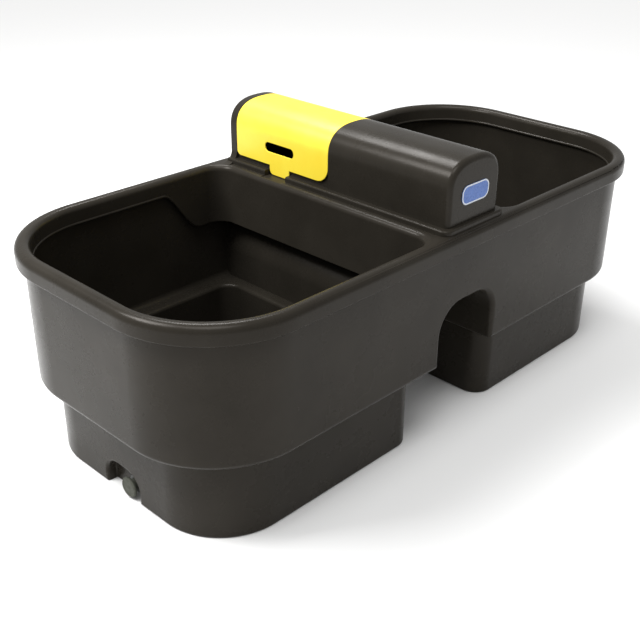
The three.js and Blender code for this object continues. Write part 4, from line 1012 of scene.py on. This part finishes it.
# ---------------------------------------------------------------------------
# Float valve: a brass body with a nylon nozzle, closed by a brass piston with a
# rubber face, which a lever pushes as the float rises. A fibre washer seals it.
# ---------------------------------------------------------------------------
VALVE_RADIUS, VALVE_BORE, CHEEK_HALF = 0.015, 0.0085, 0.010
UNION_FLATS, UNION_THICK = 0.034, 0.012
SPOUT_RADIUS, SPOUT_BORE = 0.008, 0.0055
LEVER_SLOT, PIN_BORE, SUPPLY_BORE = 0.0032, 0.0023, 0.005
JET_RADIUS, JET_MOUTH, PISTON_GROOVE = 0.0016, 0.0032, 0.0005
start, stop, middle = spot("valve_body")
valve_z = axis_z
pin_low, pin_high, pin = spot("lever_pin")
nozzle_low, nozzle_high, nozzle_middle = spot("valve_nozzle")
seat_y = nozzle_high.y + SEAT_GAP


def about_valve(piece):
    """Lays a piece made about Z along the valve's axis, with its heights measured along Y."""
    return laid(piece, "y", (0, 0, valve_z))


hex_start = stop.y - UNION_THICK + SEAT_GAP
barrel = turned([(0, start.y), (VALVE_RADIUS, start.y), (VALVE_RADIUS, start.y + 0.012),
                 (VALVE_RADIUS - 0.0012, start.y + 0.0135), (VALVE_RADIUS - 0.0012, hex_start - 0.003),
                 (VALVE_RADIUS, hex_start - 0.0015), (VALVE_RADIUS, stop.y), (0, stop.y)],
                CAST_EASE, "valve_casting", angle=50)
about_valve(barrel)
nut = about_valve(hexagon(UNION_FLATS, hex_start, stop.y - SEAT_GAP, "union"))
spout_y = nozzle_low.y - 0.001
spout_end, spout_neck, spout_top = start.z, SPOUT_RADIUS - 0.0008, valve_z - VALVE_BORE - 0.001
spout = turned([(0, spout_end), (SPOUT_RADIUS, spout_end), (SPOUT_RADIUS, spout_end + 0.003),
                (spout_neck, spout_end + 0.004), (spout_neck, spout_top), (0, spout_top)],
               0.0004, "spout", angle=50)
moved(spout, 0, spout_y)
cheek_low = pin.z - 0.007
cheeks = block(-CHEEK_HALF, CHEEK_HALF, start.y, pin.y + 0.007, cheek_low, valve_z, "cheeks")
softened(cheeks, 0.0012)
combine(barrel, [nut, spout, cheeks], "UNION")
spout_way = moved(bored(SPOUT_BORE, spout_end - OVERRUN, valve_z), 0, spout_y)
lever_gap = block(-LEVER_SLOT, LEVER_SLOT, start.y - OVERRUN, pin.y + 0.008, cheek_low - OVERRUN, valve_z, "gap")
combine(barrel, [about_valve(bored(VALVE_BORE, start.y - OVERRUN, seat_y)),
                 about_valve(bored(SUPPLY_BORE, seat_y - OVERRUN, stop.y + OVERRUN)), spout_way, lever_gap,
                 x_bar(PIN_BORE, -0.03, 0.03, pin.y, pin.z, "pin_bore", 40)], "DIFFERENCE")
fitted(barrel, "valve_body", "trough", cast_brass, 30)

fibre = Finish("red_fibre")
fibre.drift("Base Color", fibre.noise(400.0, 5.0, 0.7), (0.20, 0.045, 0.028), (0.33, 0.085, 0.05))
fibre.drift("Roughness", fibre.noise(300.0, 3.0, 0.5), 0.75, 0.9)
fibre.bump(fibre.noise(1400.0, 3.0, 0.6), 0.3, 0.0002)
start, stop, middle = spot("valve_union_washer")
outer, depth = (stop.x - start.x) / 2, stop.y - start.y
union_washer = tube(WATER_RADIUS, outer, 0, depth, 0.0002, "union_washer_ring")
laid(union_washer, "y", (middle.x, start.y, middle.z))
fitted(union_washer, "valve_union_washer", "trough", fibre.material)

nylon = Finish("white_nylon")
nylon.drift("Base Color", nylon.noise(80.0, 4.0, 0.6), (0.72, 0.71, 0.65), (0.80, 0.79, 0.74))
nylon.drift("Roughness", nylon.noise(150.0, 3.0, 0.5), 0.36, 0.5)
nylon.bump(nylon.noise(900.0, 2.0, 0.5), 0.08, 0.0002)
nylon.shader.inputs["Subsurface Weight"].default_value = 0.12
nylon.shader.inputs["Subsurface Radius"].default_value = (0.002, 0.002, 0.0018)
depth, outer = nozzle_high.y - nozzle_low.y, (nozzle_high.x - nozzle_low.x) / 2
nozzle = turned([(JET_RADIUS, 0), (JET_MOUTH, 0), (outer, 0.004), (outer, depth), (JET_RADIUS, depth)],
                0.0002, "nozzle_insert", closed=True)
laid(nozzle, "y", (0, nozzle_low.y, valve_z))
fitted(nozzle, "valve_nozzle", "trough", nylon.material)

start, stop, middle = spot("piston_washer")
radius, depth = (stop.x - start.x) / 2, stop.y - start.y
piston_face = turned([(0, 0), (radius, 0), (radius, depth), (radius - 0.001, depth),
                      (radius - 0.0015, depth - 0.0003), (0, depth - 0.0003)], 0.0003, "piston_facing")
laid(piston_face, "y", (middle.x, start.y, middle.z))
fitted(piston_face, "piston_washer", "piston", seal_rubber)

start, stop, middle = spot("valve_piston")
radius, depth = (stop.x - start.x) / 2, stop.y - start.y
groove = radius - PISTON_GROOVE
piston = turned([(0, 0), (radius, 0), (radius, depth * 0.12), (groove, depth * 0.14), (groove, depth * 0.20),
                 (radius, depth * 0.22), (radius, depth), (0, depth)], 0.0004, "piston_slug")
laid(piston, "y", (middle.x, start.y, middle.z))
finger_low = pin.y - 0.002 - 0.0029
finger_high = pin.y + 0.002 + 0.0014
slit = block(-LEVER_SLOT, LEVER_SLOT, finger_low, finger_high, valve_z - 0.02, valve_z + 0.005, "slit")
combine(piston, [slit], "DIFFERENCE")
fitted(piston, "valve_piston", "piston", turned_brass, 30)

radius, reach = (pin_high.z - pin_low.z) / 2, pin_high.x - pin_low.x
shank, under_head = 0.002, reach - 0.0012
lever_pin = turned([(0, 0), (shank, 0), (shank, under_head), (radius, under_head), (radius, reach), (0, reach)],
                   0.0003, "lever_pin_rod", steps=40)
laid(lever_pin, "x", (pin_low.x, pin.y, pin.z))
fitted(lever_pin, "lever_pin", "trough", drawn_steel)

# ---------------------------------------------------------------------------
# Float: a brass lever with a threaded rod screwed into a blow-moulded ball, held
# by a lock nut. The ball has its parting seam and a moulded boss.
# ---------------------------------------------------------------------------
LEVER_HALF, EYE_RADIUS, BLADE_LENGTH, ROD_RADIUS = 0.0025, 0.0055, 0.022, 0.0035
FINGER_HALF, FINGER_TIP = 0.002, 0.004
start, stop, middle = spot("float_ball")
FLOAT_RADIUS = (stop.x - start.x) / 2
FLOAT_DROP = math.radians(38)
FLOAT_REACH = 0.245
down_rod = Matrix.Translation((0, pin.y, pin.z)) @ Matrix.Rotation(math.pi / 2 + FLOAT_DROP, 4, "X")


def down_the_rod(piece):
    """Lays a piece made about Z along the float's rod, measured from the lever's pin."""
    piece.data.transform(down_rod)
    return piece


finger = block(-LEVER_HALF, LEVER_HALF, pin.y - FINGER_HALF, pin.y + FINGER_HALF, pin.z, valve_z + FINGER_TIP,
               "lever_and_rod")
softened(finger, 0.0005)
eye = x_bar(EYE_RADIUS, -LEVER_HALF, LEVER_HALF, pin.y, pin.z, "eye")
blade = down_the_rod(block(-LEVER_HALF, LEVER_HALF, -ROD_RADIUS, ROD_RADIUS, 0, BLADE_LENGTH, "blade"))
rod_end = FLOAT_REACH - FLOAT_RADIUS + 0.026
thread_start = FLOAT_REACH - FLOAT_RADIUS - 0.030
rod_start = BLADE_LENGTH - ROD_RADIUS
outline = [(0, rod_start), (ROD_RADIUS, rod_start), (ROD_RADIUS, thread_start)]
outline += threaded(ROD_RADIUS, thread_start + 0.0006, rod_end, 0.0011, 0.0004)
outline += [(ROD_RADIUS - 0.0008, rod_end), (0, rod_end)]
float_rod = down_the_rod(turned(outline, 0, "rod", steps=40))
combine(finger, [eye, blade, float_rod], "UNION")
combine(finger, [x_bar(PIN_BORE, -0.01, 0.01, pin.y, pin.z, "eye_bore", 40)], "DIFFERENCE")
fitted(finger, "float_lever", "float_arm", cast_brass, 30)

SEAM_HALF, SEAM_PROUD, BALL_STEPS = 0.0012, 0.0005, 40
BOSS_RADIUS, BOSS_PROUD = 0.010, 0.006
LOCK_FLATS, LOCK_THICK = 0.013, 0.006
seat = FLOAT_REACH - FLOAT_RADIUS
outline = [(0, FLOAT_REACH + FLOAT_RADIUS)]
for k in range(1, BALL_STEPS):
    turn = math.pi * k / BALL_STEPS
    height = FLOAT_RADIUS * math.cos(turn)
    outline.append(((FLOAT_RADIUS - SEAM_PROUD) * math.sin(turn), FLOAT_REACH + height))
outline.append((0, seat))
ball = turned(outline, 0, "float_shell", steps=96)
below = [(FLOAT_RADIUS - 0.006, -2 * SEAM_HALF), (FLOAT_RADIUS - SEAM_PROUD, -SEAM_HALF),
         (FLOAT_RADIUS, -SEAM_HALF / 3)]
profile = below + [(radius, -height) for radius, height in reversed(below)]
seam = turned([(radius, FLOAT_REACH + height) for radius, height in profile], 0, "seam", closed=True, steps=96)
boss = rod(BOSS_RADIUS, seat - BOSS_PROUD, seat + 0.012, 0.0008, "boss")
combine(ball, [seam, boss], "UNION")
combine(ball, [bored(ROD_RADIUS + SEAT_GAP, seat - OVERRUN, seat + 0.028)], "DIFFERENCE")
down_the_rod(ball)
orange = Finish("orange_float")
orange.drift("Base Color", orange.noise(20.0, 4.0, 0.6), (0.62, 0.105, 0.022), (0.72, 0.150, 0.035))
orange.drift("Roughness", orange.noise(45.0, 4.0, 0.6), 0.28, 0.42)
orange.bump(orange.noise(60.0, 3.0, 0.5), 0.12, 0.001)
fitted(ball, "float_ball", "float_arm", orange.material, 40)

lock_top = seat - BOSS_PROUD - SEAT_GAP
lock_nut = hexagon(LOCK_FLATS, lock_top - LOCK_THICK, lock_top, "lock_nut")
combine(lock_nut, [bored(ROD_RADIUS + SEAT_GAP, lock_top - OVERRUN, lock_top + OVERRUN)], "DIFFERENCE")
down_the_rod(lock_nut)
fitted(lock_nut, "float_lock_nut", "float_arm", turned_brass, 25)

# ---------------------------------------------------------------------------
# Stage: a pale floor, a white room and large soft lights, and the camera.
# ---------------------------------------------------------------------------
floor = bmesh.new()
bmesh.ops.create_circle(floor, cap_ends=True, radius=14.0, segments=96)
floor = placed(floor, "floor")
paper = Finish("pale_floor")
paper.shader.inputs["Base Color"].default_value = (0.93, 0.93, 0.925, 1)
paper.shader.inputs["Roughness"].default_value = 0.9
dressed(floor, paper.material)

scene = bpy.context.scene
world = bpy.data.worlds.new("white_room")
world.use_nodes = True
world.node_tree.nodes["Background"].inputs["Color"].default_value = (1.0, 1.0, 1.0, 1)
world.node_tree.nodes["Background"].inputs["Strength"].default_value = 0.50
scene.world = world
scene.view_settings.view_transform = "Standard"


def softbox(name, place, aim, size, power):
    """A soft rectangular light pointed at a place."""
    light = bpy.data.lights.new(name, "AREA")
    light.shape = "RECTANGLE"
    light.size, light.size_y = size
    light.energy = power
    lamp = bpy.data.objects.new(name, light)
    lamp.location = place
    lamp.rotation_euler = (Vector(aim) - Vector(place)).to_track_quat("-Z", "Y").to_euler()
    scene.collection.objects.link(lamp)
    return lamp


softbox("key_left", (-1.8, 0.9, 2.7), (-0.2, 0, 0.5), (1.4, 1.0), 95)
softbox("top", (0.5, 1.4, 3.0), (0, 0, 0.5), (1.1, 0.7), 50)
overhead = bpy.data.objects.new("overhead", bpy.data.lights.new("overhead", "SUN"))
overhead.data.energy = 1.5
overhead.data.angle = math.radians(30)
overhead.rotation_euler = (math.radians(10), math.radians(-14), 0)
scene.collection.objects.link(overhead)

camera = bpy.data.objects.new("camera", bpy.data.cameras.new("camera"))
camera.data.sensor_width = 36.0
camera.data.lens = 55.70
camera.matrix_world = Matrix(((0.69906, 0.32763, -0.63559, -1.77103),
                              (-0.71502, 0.32941, -0.61663, -1.60224),
                              (0.00735, 0.88552, 0.46454, 1.40975),
                              (0, 0, 0, 1)))
scene.collection.objects.link(camera)
scene.camera = camera
